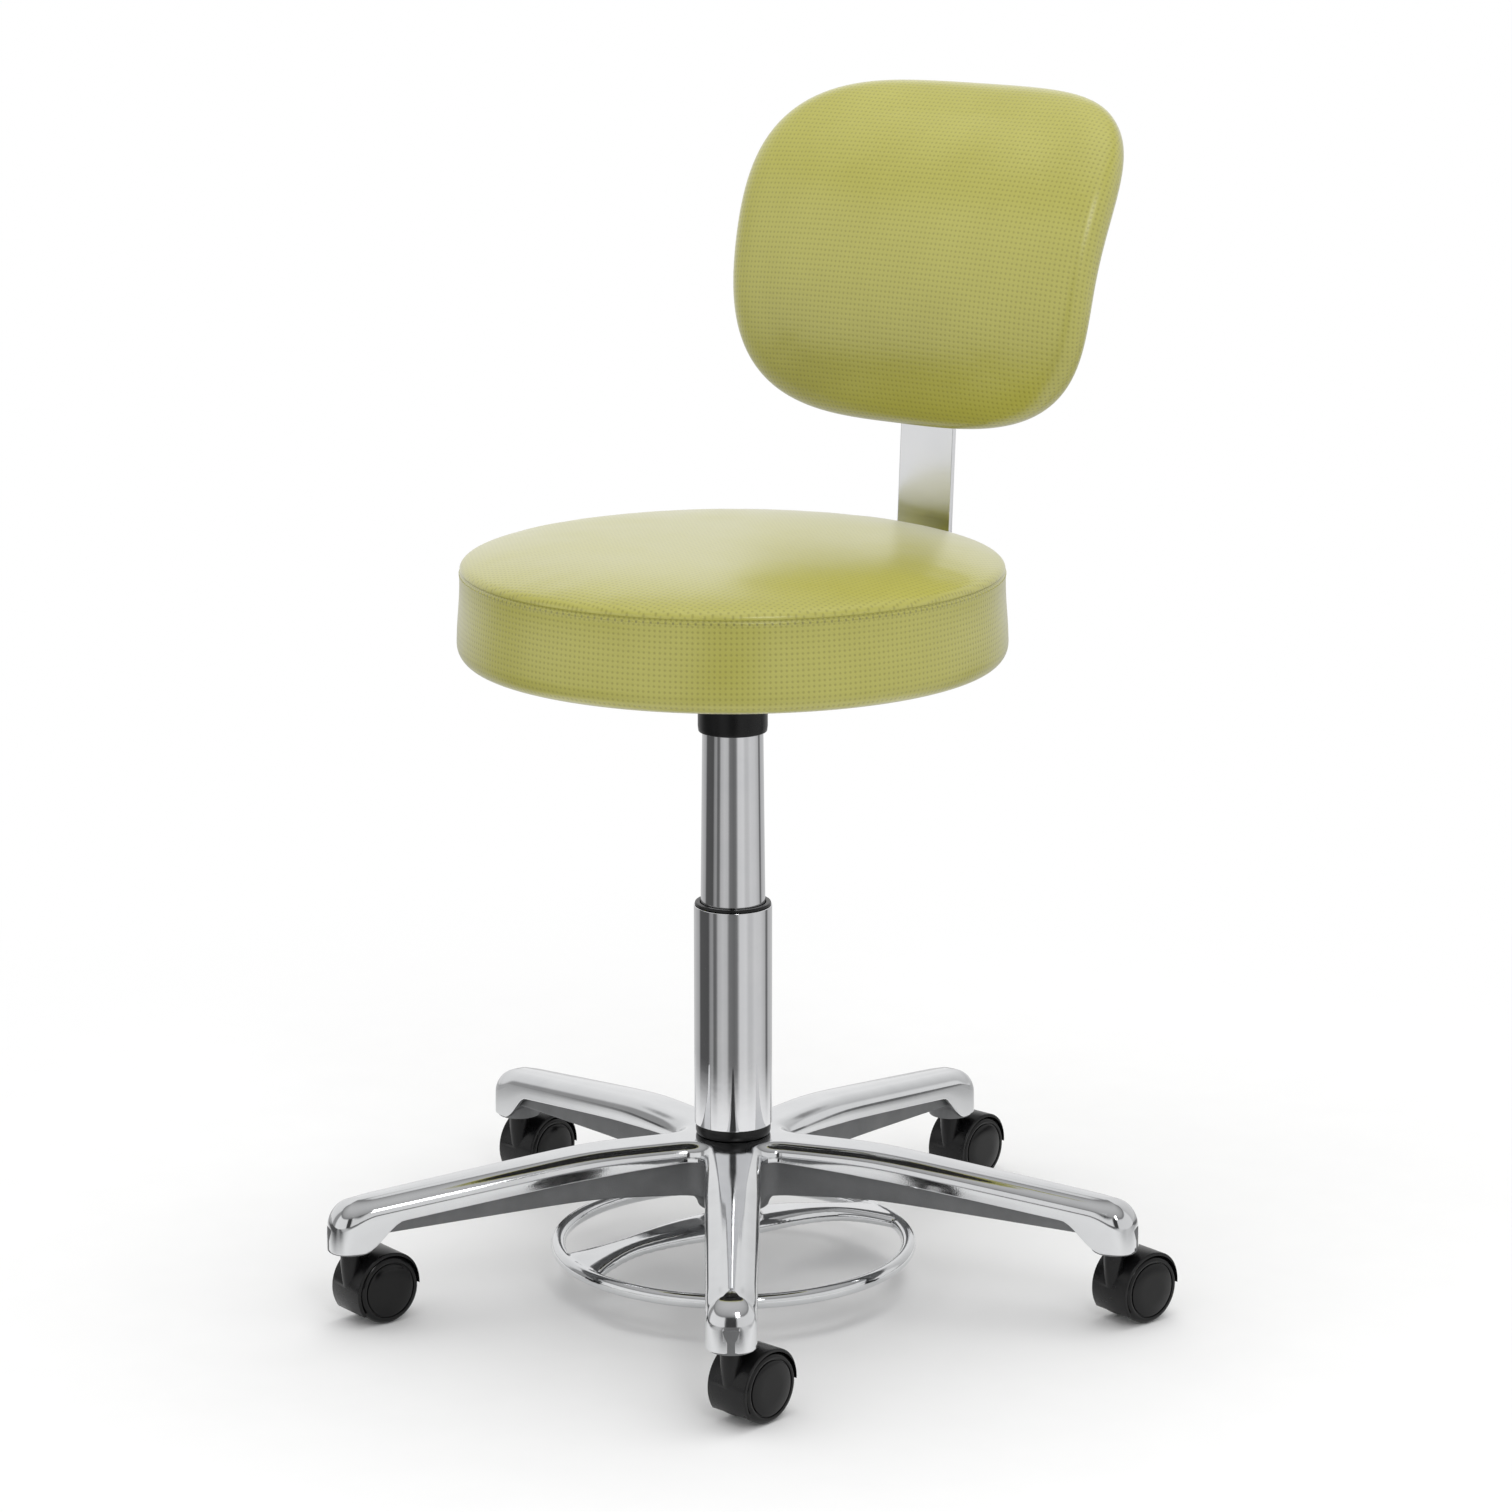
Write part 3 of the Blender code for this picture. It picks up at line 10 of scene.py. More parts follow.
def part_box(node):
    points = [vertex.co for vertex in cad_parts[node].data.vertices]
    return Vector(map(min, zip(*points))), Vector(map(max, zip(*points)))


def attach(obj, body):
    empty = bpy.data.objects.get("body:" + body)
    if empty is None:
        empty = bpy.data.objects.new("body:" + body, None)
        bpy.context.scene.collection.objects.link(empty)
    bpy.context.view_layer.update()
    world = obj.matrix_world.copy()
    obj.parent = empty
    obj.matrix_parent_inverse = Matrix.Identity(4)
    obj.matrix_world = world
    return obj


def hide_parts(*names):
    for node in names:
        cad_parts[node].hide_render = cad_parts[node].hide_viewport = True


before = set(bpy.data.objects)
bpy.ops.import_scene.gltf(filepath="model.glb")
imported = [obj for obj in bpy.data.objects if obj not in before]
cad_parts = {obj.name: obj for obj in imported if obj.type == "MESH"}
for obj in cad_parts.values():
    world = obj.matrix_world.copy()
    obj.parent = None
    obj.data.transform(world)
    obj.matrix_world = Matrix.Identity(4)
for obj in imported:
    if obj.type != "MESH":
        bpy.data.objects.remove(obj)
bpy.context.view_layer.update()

# Star base: one aluminium casting with five arms. The shell is ground and polished bright all over, and
# the ribs, hub and caster bosses under the shell's lip keep their grey cast skin. It carries the rest.

ARMS = 5
FIRST_ARM = 38.3
STEM_CIRCLE = 0.297
NOSE_REACH = 0.0170
NOSE_SQUARENESS = 2.6
ROOT_HALF = 0.0215
TIP_HALF = 0.0182
ARM_FILLET = 0.0120
HUB_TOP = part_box("star_base")[1].z
HUB_UNDERSIDE = 0.0640
HUB_BOSS_RADIUS = 0.0340
BOSS_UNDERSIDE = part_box("star_base")[0].z
BOSS_RADIUS = 0.0172
BOSS_TOP = BOSS_UNDERSIDE + 0.019
STEM_BORE = 0.0058
ARM_FALL = 0.0240
ARM_KNEE = 0.33
KNEE_SOFTNESS = 0.08
ARM_CROWN = 0.0006
SHELL_INSET = 0.0125
SHELL_DROP = 0.0102
NOSE_INSET = 0.0168
NOSE_TIP_INSET = 0.0006
NOSE_DROP = 0.0200
NOSE_BREAK = radians(18)
LIP_ROOT_DEPTH = 0.0126
LIP_DEPTH = 0.0183
LIP_GROWTH_LENGTH = 0.090
LIP_WALL = 0.0030
LIP_ROUND = 0.0009
WEB_INSET = 0.0055
WEB_ROOT_DEPTH = 0.0430
WEB_TIP_DEPTH = 0.0255
WEB_ROUND = 0.0016
SKIRT_LENGTH = 0.037
SKIRT_END = 0.005
FILLET_ROWS = 10
ARM_ROWS = 44
NOSE_ROWS = 36
ROW_CROWDING = 0.65
TOP_COLUMNS = 3
SHELL_COLUMNS = 10
CAST_COLUMN = TOP_COLUMNS + SHELL_COLUMNS + 4


def linear(code):
    """A colour written as sRGB hex, as linear red, green, blue and alpha."""
    shares = [int(code[place:place + 2], 16) / 255 for place in (1, 3, 5)]
    return (*[s / 12.92 if s <= 0.04045 else ((s + 0.055) / 1.055) ** 2.4 for s in shares], 1.0)


def new_material(name):
    material = bpy.data.materials.new(name)
    material.use_nodes = True
    material.node_tree.nodes.clear()
    return material


def add_node(owner, kind, inputs={}, **settings):
    """Adds one node with its settings; an input is a value, an output, or a node for its first output."""
    node = owner.node_tree.nodes.new(kind)
    for name, value in settings.items():
        setattr(node, name, value)
    for socket, value in inputs.items():
        if isinstance(value, bpy.types.Node):
            value = value.outputs[0]
        if isinstance(value, bpy.types.NodeSocket):
            owner.node_tree.links.new(value, node.inputs[socket])
        else:
            node.inputs[socket].default_value = value
    return node


def finish(name, shades, patch, relief=(), gloss=None, values={}):
    """A material that drifts between two shades, and two glosses, over soft patches, under a layered relief.

    A patch is a size and the noise's other values. Gloss is the noise's span and the roughness it turns into.
    A layer of relief is a size, its detail, strength and depth, and a stretch where it has a grain.
    """
    material = new_material(name)
    place = add_node(material, "ShaderNodeTexCoord").outputs["Object"]
    size, noise = patch
    drift = add_node(material, "ShaderNodeTexNoise", {"Vector": place, "Scale": 1 / size, **noise})
    tint = add_node(
        material, "ShaderNodeMix", {0: drift, 6: linear(shades[0]), 7: linear(shades[1])}, data_type="RGBA",
    )
    looks = {"Base Color": tint.outputs[2], **values}
    if gloss:
        spans = dict(zip(("From Min", "From Max", "To Min", "To Max"), gloss))
        looks["Roughness"] = add_node(material, "ShaderNodeMapRange", {"Value": drift, **spans})
    for size, detail, strength, depth, *stretch in relief:
        laid = place
        if stretch:
            laid = add_node(material, "ShaderNodeMapping", {"Vector": place, "Scale": stretch[0]})
        grain = add_node(material, "ShaderNodeTexNoise", {"Vector": laid, "Scale": 1 / size, "Detail": detail})
        layer = {"Height": grain, "Strength": strength, "Distance": depth}
        if "Normal" in looks:
            layer["Normal"] = looks["Normal"]
        looks["Normal"] = add_node(material, "ShaderNodeBump", layer)
    skin = add_node(material, "ShaderNodeBsdfPrincipled", looks)
    add_node(material, "ShaderNodeOutputMaterial", {"Surface": skin})
    return material


def heading(azimuth):
    """Direction on the floor, counted in degrees from the stool's front at -Y towards +X."""
    return Vector((sin(radians(azimuth)), -cos(radians(azimuth)), 0.0))


def smooth_step(value):
    value = min(max(value, 0.0), 1.0)
    return value * value * (3 - 2 * value)


def soft_ramp(value):
    return (value + hypot(value, KNEE_SOFTNESS)) / 2


def arm_share(reach):
    return min(max((reach - ROOT_HALF) / (STEM_CIRCLE - ROOT_HALF), 0.0), 1.0)


def arm_top(reach):
    """Level near the hub, then a straight fall to the tip."""
    fall = soft_ramp(arm_share(reach) - ARM_KNEE) - soft_ramp(-ARM_KNEE)
    return HUB_TOP - ARM_FALL * fall / (soft_ramp(1 - ARM_KNEE) - soft_ramp(-ARM_KNEE))


def arm_lip(reach):
    """Lower edge of the polished shell, which sweeps down round the caster's boss."""
    growth = min(max((reach - ROOT_HALF) / LIP_GROWTH_LENGTH, 0.0), 1.0)
    edge = arm_top(reach) - LIP_ROOT_DEPTH - (LIP_DEPTH - LIP_ROOT_DEPTH) * growth
    skirt = smooth_step((reach - STEM_CIRCLE + SKIRT_LENGTH) / (SKIRT_LENGTH - SKIRT_END))
    return edge * (1 - skirt) + (BOSS_UNDERSIDE + LIP_WALL / 2) * skirt


def arm_web(reach):
    """Underside of the inset rib."""
    edge = arm_top(reach) - WEB_ROOT_DEPTH - (WEB_TIP_DEPTH - WEB_ROOT_DEPTH) * arm_share(reach)
    return min(edge, arm_lip(reach) + LIP_WALL)


def arm_edge(row, inset, nose_inset):
    """Outline (reach, half width): rows 0 to 1 round the fillet, to 2 along the arm, to 3 round the nose."""
    between = pi / ARMS
    middle = (ROOT_HALF + ARM_FILLET) / sin(between)
    start = middle * cos(between)
    if row < 1:
        angle = pi + between + (pi / 2 - between) * row
        radius = ARM_FILLET + inset
        return start + radius * cos(angle), middle * sin(between) + radius * sin(angle)
    if row < 2:
        reach = start + (STEM_CIRCLE - start) * (row - 1)
        return reach, ROOT_HALF + (TIP_HALF - ROOT_HALF) * arm_share(reach) - inset
    angle = pi / 2 * (3 - row)
    power = 2 / NOSE_SQUARENESS
    along = (NOSE_REACH - nose_inset) * abs(cos(angle)) ** power
    return STEM_CIRCLE + along, (TIP_HALF - inset) * abs(sin(angle)) ** power


def arm_middle(row):
    """Reach of the arm's middle line; the rows round the nose all start from one point on it."""
    start = (ROOT_HALF + ARM_FILLET) / tan(pi / ARMS)
    pole = STEM_CIRCLE - NOSE_REACH * 0.7
    return start * row if row < 1 else start + (pole - start) * min(row - 1, 1.0)


def shell_point(row, turn):
    """A point of the polished shell: turn runs from 0 at the flat top to 1 on the upright side."""
    side = pi / 2 * turn
    nose = NOSE_BREAK + (pi / 2 - NOSE_BREAK) * turn
    inset = SHELL_INSET * (1 - sin(side))
    drop = SHELL_DROP * (1 - cos(side))
    nose_inset = NOSE_TIP_INSET + NOSE_INSET * (1 - sin(nose)) / (1 - sin(NOSE_BREAK))
    nose_drop = NOSE_DROP * (1 - cos(nose) / cos(NOSE_BREAK))
    reach, half = arm_edge(row, inset, nose_inset)
    share = smooth_step((reach - STEM_CIRCLE + NOSE_REACH) / (2 * NOSE_REACH))
    return reach, half, arm_top(reach) - drop - (nose_drop - drop) * share


def arm_point(row, column):
    """A point of half an arm: columns run from its top middle line over shell, lip and rib to the bottom."""
    middle = arm_middle(row)
    if column <= TOP_COLUMNS:
        share = column / TOP_COLUMNS
        reach, half = shell_point(row, 0.0)[:2]
        reach = middle + (reach - middle) * share
        crown = ARM_CROWN * (1 - share**2) * smooth_step(4 * arm_share(reach) - 1)
        return reach, half * share, arm_top(reach) + crown
    column -= TOP_COLUMNS
    if column <= SHELL_COLUMNS:
        return shell_point(row, column / SHELL_COLUMNS)
    column -= SHELL_COLUMNS
    wall_top = shell_point(row, 1.0)[2]
    reach, half = arm_edge(row, 0.0, 0.0)
    lip = arm_lip(reach)
    if column == 1:
        return reach, half, (wall_top + lip) / 2
    web = arm_web(arm_edge(row, WEB_INSET, WEB_INSET)[0])
    rounding = min(WEB_ROUND, (lip + LIP_WALL - web) / 2)
    steps = {
        2: (0.0, lip + LIP_ROUND),
        3: (LIP_ROUND * 0.3, lip + LIP_ROUND * 0.3),
        4: (LIP_ROUND, lip),
        5: (LIP_WALL, lip),
        6: (WEB_INSET, lip + LIP_WALL),
        7: (WEB_INSET, (lip + LIP_WALL + web) / 2),
        8: (WEB_INSET, web + rounding),
        9: (WEB_INSET + rounding * 0.3, web + rounding * 0.3),
        10: (WEB_INSET + rounding, web),
    }
    if column not in steps:
        return middle, 0.0, arm_web(middle)
    inset, height = steps[column]
    return *arm_edge(row, inset, inset), height


def recalculated(bm, distance=0.00001):
    bmesh.ops.remove_doubles(bm, verts=bm.verts, dist=distance)
    bmesh.ops.recalc_face_normals(bm, faces=bm.faces)
    return bm


def loose(bm, *materials):
    """A mesh object that stands outside the stool until it has been used."""
    mesh = bpy.data.meshes.new("work")
    bm.to_mesh(mesh)
    bm.free()
    for material in materials:
        mesh.materials.append(material)
    obj = bpy.data.objects.new("work", mesh)
    bpy.context.scene.collection.objects.link(obj)
    return obj


def settled(obj):
    """The shape of an object with its modifiers done, as a bmesh; the object goes."""
    bpy.context.view_layer.update()
    done = bpy.data.meshes.new_from_object(obj.evaluated_get(bpy.context.evaluated_depsgraph_get()))
    bm = bmesh.new()
    bm.from_mesh(done)
    for other in [obj] + [m.object for m in obj.modifiers if m.type == "BOOLEAN"]:
        bpy.data.objects.remove(other)
    bpy.data.meshes.remove(done)
    return bm


def combined(bm, *steps):
    """The shape after other closed shapes were joined to it (UNION) or cut from it (DIFFERENCE)."""
    blanks = [bpy.data.materials.new("blank") for slot in range(2)]
    obj = loose(bm, *blanks)
    for operation, other in steps:
        modifier = obj.modifiers.new(operation, "BOOLEAN")
        modifier.operation = operation
        modifier.solver = "EXACT"
        modifier.object = loose(other, *blanks)
    shape = settled(obj)
    for blank in blanks:
        bpy.data.materials.remove(blank)
    return shape


def show(name, bm, materials, body, nodes, crease=30):
    """Makes a piece of a shape: it rides on its body, and stands for its solids."""
    mesh = bpy.data.meshes.new(name)
    bm.to_mesh(mesh)
    bm.free()
    mesh.shade_smooth()
    mesh.set_sharp_from_angle(angle=radians(crease))
    for material in materials:
        mesh.materials.append(material)
    obj = bpy.data.objects.new(name, mesh)
    bpy.context.scene.collection.objects.link(obj)
    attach(obj, body)
    if nodes:
        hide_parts(*nodes)
    return obj


def lathe(profile, sides=96, closed=True, rounding=0.0):
    """A profile of (radius, height) points turned about Z, with its sharp edges rounded."""
    bm = bmesh.new()
    points = [bm.verts.new((radius, 0.0, height)) for radius, height in profile]
    pairs = zip(points, points[1:] + points[:1]) if closed else zip(points, points[1:])
    edges = [bm.edges.new(pair) for pair in pairs]
    bmesh.ops.spin(
        bm, geom=points + edges, cent=(0, 0, 0), axis=(0, 0, 1), angle=2 * pi, steps=sides, use_merge=True
    )
    recalculated(bm)
    return rounded(bm, rounding)


def rounded(bm, rounding, segments=3, limit=40):
    """Breaks the edges that turn by more than a limit in degrees."""
    sharp = [e for e in bm.edges if len(e.link_faces) == 2 and e.calc_face_angle() > radians(limit)]
    if rounding and sharp:
        bmesh.ops.bevel(
            bm, geom=sharp, offset=rounding, offset_type="OFFSET", segments=segments, profile=0.5,
            affect="EDGES", material=-1, clamp_overlap=True,
        )
    return bm


def bar(radius, low, high, sides=48):
    """A round bar along Z."""
    return lathe([(0.0, high), (radius, high), (radius, low), (0.0, low)], sides, closed=False)


def star_shell():
    bm = bmesh.new()
    rows = FILLET_ROWS + ARM_ROWS + NOSE_ROWS
    columns = TOP_COLUMNS + SHELL_COLUMNS + 11
    bmesh.ops.create_grid(bm, x_segments=rows, y_segments=columns, size=0.5)
    for face in bm.faces:
        column = (min(v.co.y for v in face.verts) + 0.5) * columns
        face.material_index = int(round(column) >= CAST_COLUMN)
    for vert in bm.verts:
        step = round((vert.co.x + 0.5) * rows)
        along = min(max((step - FILLET_ROWS) / ARM_ROWS, 0.0), 1.0) ** ROW_CROWDING
        nose = max(step - FILLET_ROWS - ARM_ROWS, 0) / NOSE_ROWS
        vert.co = arm_point(min(step / FILLET_ROWS, 1.0) + along + nose, round((vert.co.y + 0.5) * columns))
    bmesh.ops.mirror(bm, geom=bm.verts[:] + bm.edges[:] + bm.faces[:], axis="Y", merge_dist=0.00001)
    bmesh.ops.spin(
        bm, geom=bm.verts[:] + bm.edges[:] + bm.faces[:], cent=(0, 0, 0), axis=(0, 0, 1),
        angle=2 * pi * (ARMS - 1) / ARMS, steps=ARMS - 1, use_duplicate=True,
    )
    bmesh.ops.rotate(
        bm, verts=bm.verts, cent=(0, 0, 0), matrix=Matrix.Rotation(radians(FIRST_ARM) - pi / 2, 3, "Z")
    )
    return recalculated(bm)


stem_points = [heading(FIRST_ARM + 360 / ARMS * arm) * STEM_CIRCLE for arm in range(ARMS)]


def moved(bm, matrix):
    bmesh.ops.transform(bm, matrix=matrix, verts=bm.verts)
    return bm


def copied(bm, matrix):
    return moved(bm.copy(), matrix)


def gathered(*shapes):
    """One shape of several, which stay as they are inside it."""
    whole = bmesh.new()
    for shape in shapes:
        mesh = bpy.data.meshes.new("part")
        shape.to_mesh(mesh)
        shape.free()
        whole.from_mesh(mesh)
        bpy.data.meshes.remove(mesh)
    return whole


def at_stems(shape):
    """Five cast copies of a shape, one on each caster's axis."""
    for face in shape.faces:
        face.material_index = 1
    return gathered(*[copied(shape, Matrix.Translation(point)) for point in stem_points])


# The hub's bore takes the column's cone from above and the foot release from below
cone_top, cone_foot = 0.0228, 0.0208
hub_bore = lathe(
    [(0.0, 0.1300), (cone_top, 0.1300), (cone_foot, 0.0779), (0.0238, 0.0779), (0.0238, 0.0600), (0.0, 0.0600)],
    closed=False,
)
hub_boss = lathe(
    [
        (0.0, 0.0800), (HUB_BOSS_RADIUS, 0.0800), (HUB_BOSS_RADIUS, 0.0752), (0.0318, 0.0726), (0.0293, 0.0698),
        (0.0276, 0.0668), (0.0268, HUB_UNDERSIDE), (0.0, HUB_UNDERSIDE),
    ],
    closed=False, rounding=0.0006,
)
for face in list(hub_boss.faces) + list(hub_bore.faces):
    face.material_index = 1
star = combined(
    star_shell(),
    ("UNION", at_stems(rounded(bar(BOSS_RADIUS, BOSS_UNDERSIDE, BOSS_TOP), 0.0012))),
    ("UNION", hub_boss),
    ("DIFFERENCE", hub_bore),
    ("DIFFERENCE", at_stems(bar(STEM_BORE, BOSS_UNDERSIDE - 0.001, BOSS_UNDERSIDE + 0.0243, 32))),
)

# Polished cast aluminium: a bright mirror with a faint haze, finer scratches from the buffing mops,
# and a slight unevenness of the ground surface that bends the reflections
polished_aluminium = finish(
    "polished_cast_aluminium", ("#D2D3D5", "#E4E5E6"), (0.035, {"Detail": 5.0, "Roughness": 0.6}),
    relief=((0.018, 1.0, 0.05, 0.0010), (0.0012, 2.0, 0.05, 0.0002)), gloss=(0.3, 0.7, 0.055, 0.13),
    values={"Metallic": 1.0},
)

# Cast aluminium skin: blasted, dull and mid grey, with a grain of about a millimetre
cast_aluminium = finish(
    "blasted_cast_aluminium", ("#6C6D6E", "#858687"), (0.020, {"Detail": 4.0}),
    relief=((0.0011, 3.0, 0.5, 0.0004),), values={"Metallic": 0.85, "Roughness": 0.52},
)

show(
    "star_base_casting", star, [polished_aluminium, cast_aluminium], "base",
    ["star_base"], crease=19,
)

# Casters: black nylon hoods over two cupped nylon wheels each, on a zinc-plated steel stem that is pressed
# into the arm's boss. Hood and wheels are injection moulded, and the wheels' faces are left glossy.

WHEEL_RADIUS = 0.0260
WHEEL_WIDTH = 0.0100
CASTER_WIDTH = 0.0360
CASTER_TRAIL = 0.0228
HOOD_RADIUS = 0.0288
HOOD_WIDTH = 0.0356
HOOD_WEB = 0.0152
HOOD_REAR_ANGLE = radians(2)
HOOD_REAR_TAPER = 0.080
HOOD_FRONT_ANGLE = radians(214)
WHEEL_SPACE = 0.0264
POST_RADIUS = 0.0079
AXLE_BORE = 0.0033
FIT_GAP = 0.0003
TRAIL_AZIMUTHS = (176, 168, 177, 177, 167)

axle_place = Matrix.Translation((0.0, CASTER_TRAIL, WHEEL_RADIUS)) @ Matrix.Rotation(pi / 2, 4, "Y")


def hood_shape():
    """A drum cut off below, hollowed for the two wheels, with the post that takes the stem."""
    drum = moved(rounded(bar(HOOD_RADIUS, -HOOD_WIDTH / 2, HOOD_WIDTH / 2, 96), 0.0011), axle_place)
    for vert in drum.verts:
        if vert.co.y > CASTER_TRAIL:
            drawn_in = 1 - HOOD_REAR_TAPER * smooth_step(1 - (vert.co.z - WHEEL_RADIUS) / HOOD_RADIUS)
            vert.co.y = CASTER_TRAIL + (vert.co.y - CASTER_TRAIL) * drawn_in
            vert.co.z = WHEEL_RADIUS + (vert.co.z - WHEEL_RADIUS) * drawn_in
    ends = [
        Vector((0.0, CASTER_TRAIL + HOOD_RADIUS * cos(a), WHEEL_RADIUS + HOOD_RADIUS * sin(a)))
        for a in (HOOD_REAR_ANGLE, HOOD_FRONT_ANGLE)
    ]
    across = (ends[1] - ends[0]).cross(Vector((1.0, 0.0, 0.0)))
    cut = bmesh.ops.bisect_plane(
        drum, geom=drum.verts[:] + drum.edges[:] + drum.faces[:], plane_co=ends[0],
        plane_no=across if across.z < 0 else -across, clear_outer=True,
    )
    rim = [e for e in cut["geom_cut"] if isinstance(e, bmesh.types.BMEdge)]
    bmesh.ops.contextual_create(drum, geom=rim)
    recalculated(drum)
    spaces = [
        moved(bar(WHEEL_SPACE, *sorted((side * HOOD_WEB / 2, side * HOOD_WIDTH)), 96), axle_place)
        for side in (-1, 1)
    ]
    post_top = BOSS_UNDERSIDE - FIT_GAP
    post = lathe(
        [
            (0.0, post_top), (POST_RADIUS - 0.0005, post_top), (POST_RADIUS, post_top - 0.0005),
            (POST_RADIUS, 0.0470), (POST_RADIUS - 0.0004, 0.0410), (0.0070, 0.0360), (0.0065, 0.0325),
            (0.0058, 0.0292), (0.0046, 0.0264), (0.0, 0.0252),
        ],
        64, closed=False,
    )
    return combined(
        drum,
        ("DIFFERENCE", spaces[0]),
        ("DIFFERENCE", spaces[1]),
        ("UNION", post),
        ("DIFFERENCE", bar(STEM_BORE, 0.0340, 0.0600, 32)),
        ("DIFFERENCE", moved(bar(AXLE_BORE, -HOOD_WIDTH, HOOD_WIDTH, 32), axle_place)),
    )


def wheel_shape():
    """A cupped wheel about Z with its face up: a domed disc, a groove, a rim and a rounded tread."""
    face = CASTER_WIDTH / 2
    inside = face - WHEEL_WIDTH
    profile = [
        (0.0, face - 0.0001), (0.0100, face - 0.00015), (0.0192, face - 0.0003), (0.0200, face - 0.0007),
        (0.0203, face - 0.0016), (0.0209, face - 0.0016), (0.0213, face - 0.0008), (0.0224, face - 0.0004),
        (0.0236, face - 0.0008), (0.0247, face - 0.0016), (0.0255, face - 0.0028), (0.0259, face - 0.0042),
        (WHEEL_RADIUS, face - 0.0055), (WHEEL_RADIUS, inside + 0.0012), (WHEEL_RADIUS - 0.0008, inside),
        (WHEEL_RADIUS - 0.0040, inside), (WHEEL_RADIUS - 0.0040, face - 0.0045), (0.0055, face - 0.0045),
        (0.0055, HOOD_WEB / 2 + FIT_GAP), (AXLE_BORE, HOOD_WEB / 2 + FIT_GAP), (AXLE_BORE, face - 0.0042),
        (0.0, face - 0.0042),
    ]
    return lathe(profile, closed=False)


# Moulded black nylon: near black, semi-gloss, with a faint mould grain and paler rubbed patches
black_nylon = finish(
    "moulded_black_nylon", ("#0B0B0C", "#121213"), (0.016, {"Detail": 5.0}),
    relief=((0.0009, 2.0, 0.12, 0.0002),), gloss=(0.3, 0.7, 0.24, 0.34), values={"Specular IOR Level": 0.30},
)

# Glossy black nylon of the wheels: the same moulding stock from a polished mould, scuffed on the tread
glossy_nylon = finish(
    "glossy_black_nylon", ("#0A0A0B", "#101010"), (0.006, {"Detail": 6.0, "Roughness": 0.7}),
    gloss=(0.35, 0.75, 0.09, 0.20), values={"Specular IOR Level": 0.28},
)

# Zinc plate: satin grey-white with cloudy patches from the passivation bath
zinc_steel = finish(
    "zinc_plated_steel", ("#A9ADB0", "#C6C5BE"), (0.008, {"Detail": 4.0}), gloss=(0.3, 0.7, 0.24, 0.40),
    values={"Metallic": 1.0},
)

hood, wheel = hood_shape(), wheel_shape()
for number, point in enumerate(stem_points):
    caster = "caster_%d" % (number + 1)
    swivel = Matrix.Translation(point) @ Matrix.Rotation(radians(TRAIL_AZIMUTHS[number]) + pi, 4, "Z")
    show(caster + "_cover", copied(hood, swivel), [black_nylon], caster, [caster + "_hood"])
    for side, turn in (("left", -pi / 2), ("right", pi / 2)):
        spin = swivel @ Matrix.Translation((0.0, CASTER_TRAIL, WHEEL_RADIUS)) @ Matrix.Rotation(turn, 4, "Y")
        name = "%s_%s" % (caster, side)
        show(
            name + "_roller", copied(wheel, spin), [glossy_nylon], name + "_wheel",
            [name + "_wheel"], crease=40,
        )
    for part in ("_stem", "_axle"):
        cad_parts[caster + part].material_slots[0].material = zinc_steel
hood.free()
wheel.free()

# Column: the standing tube's cone sits in the hub on a black rubber gasket, and the tapered inner tube
# rises out of a nylon guide bush. Both tubes are drawn steel, ground, then bright chromium plated.

TUBE_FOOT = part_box("base_gasket")[1].z + FIT_GAP
TUBE_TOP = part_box("outer_tube")[1].z
OUTER_RADIUS = 0.0293
OUTER_BORE = 0.0273
INNER_FOOT, INNER_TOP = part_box("inner_tube")[0].z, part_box("inner_tube")[1].z

# Bright chromium: a clear mirror, very slightly orange-peeled by the polishing before the plating
chrome = finish(
    "bright_chromium_plate", ("#DCDDE0", "#ECECED"), (0.030, {"Detail": 5.0, "Roughness": 0.65}),
    relief=((0.006, 1.0, 0.03, 0.0004),), gloss=(0.3, 0.75, 0.028, 0.075), values={"Metallic": 1.0},
)

outer_tube = [
    (OUTER_BORE, TUBE_TOP), (OUTER_RADIUS, TUBE_TOP), (OUTER_RADIUS, TUBE_FOOT), (0.0225, TUBE_FOOT),
    (0.0205, 0.0785), (0.0100, 0.0785), (0.0100, 0.0810), (0.0143, 0.0810), (0.0143, 0.1335),
    (OUTER_BORE, 0.1335),
]
inner_tube = [
    (0.0226, INNER_TOP), (0.0242, TUBE_TOP), (0.0242, INNER_FOOT + 0.0158), (0.0235, INNER_FOOT + 0.0158),
    (0.0235, INNER_FOOT), (0.0222, INNER_FOOT), (0.0222, TUBE_TOP), (0.0206, INNER_TOP),
]
for tube in (
    show("column_outer_tube", lathe(outer_tube, rounding=0.0005), [chrome], "base", ["outer_tube"]),
    show("column_inner_tube", lathe(inner_tube, rounding=0.0004), [chrome], "lift", ["inner_tube"]),
):
    straight = tube.modifiers.new("straight_walls", "WEIGHTED_NORMAL")
    straight.keep_sharp = True
    straight.weight = 100
gasket = [
    (0.0228, TUBE_FOOT - FIT_GAP), (0.0276, TUBE_FOOT - FIT_GAP), (0.0283, HUB_TOP + 0.0052),
    (0.0283, HUB_TOP + 0.0026), (0.0276, HUB_TOP + FIT_GAP), (0.0228, HUB_TOP + FIT_GAP),
]
show("column_gasket", lathe(gasket, rounding=0.0006), [black_nylon], "base", ["base_gasket"])
bush_top = TUBE_TOP + 0.0023
bush = [
    (0.0248, bush_top), (0.0283, bush_top), (0.0288, TUBE_TOP + FIT_GAP), (0.0270, TUBE_TOP + FIT_GAP),
    (0.0270, TUBE_TOP - 0.0180), (0.0248, TUBE_TOP - 0.0180),
]
show("column_guide_bush", lathe(bush, rounding=0.0005), [black_nylon], "base", ["guide_bush"])

# Gas spring inside the column: a black painted cylinder, a chromed rod and its nylon piston, and the zinc
# plated cap on which the seat turns. These stay as the solids are, because the tubes hide them.

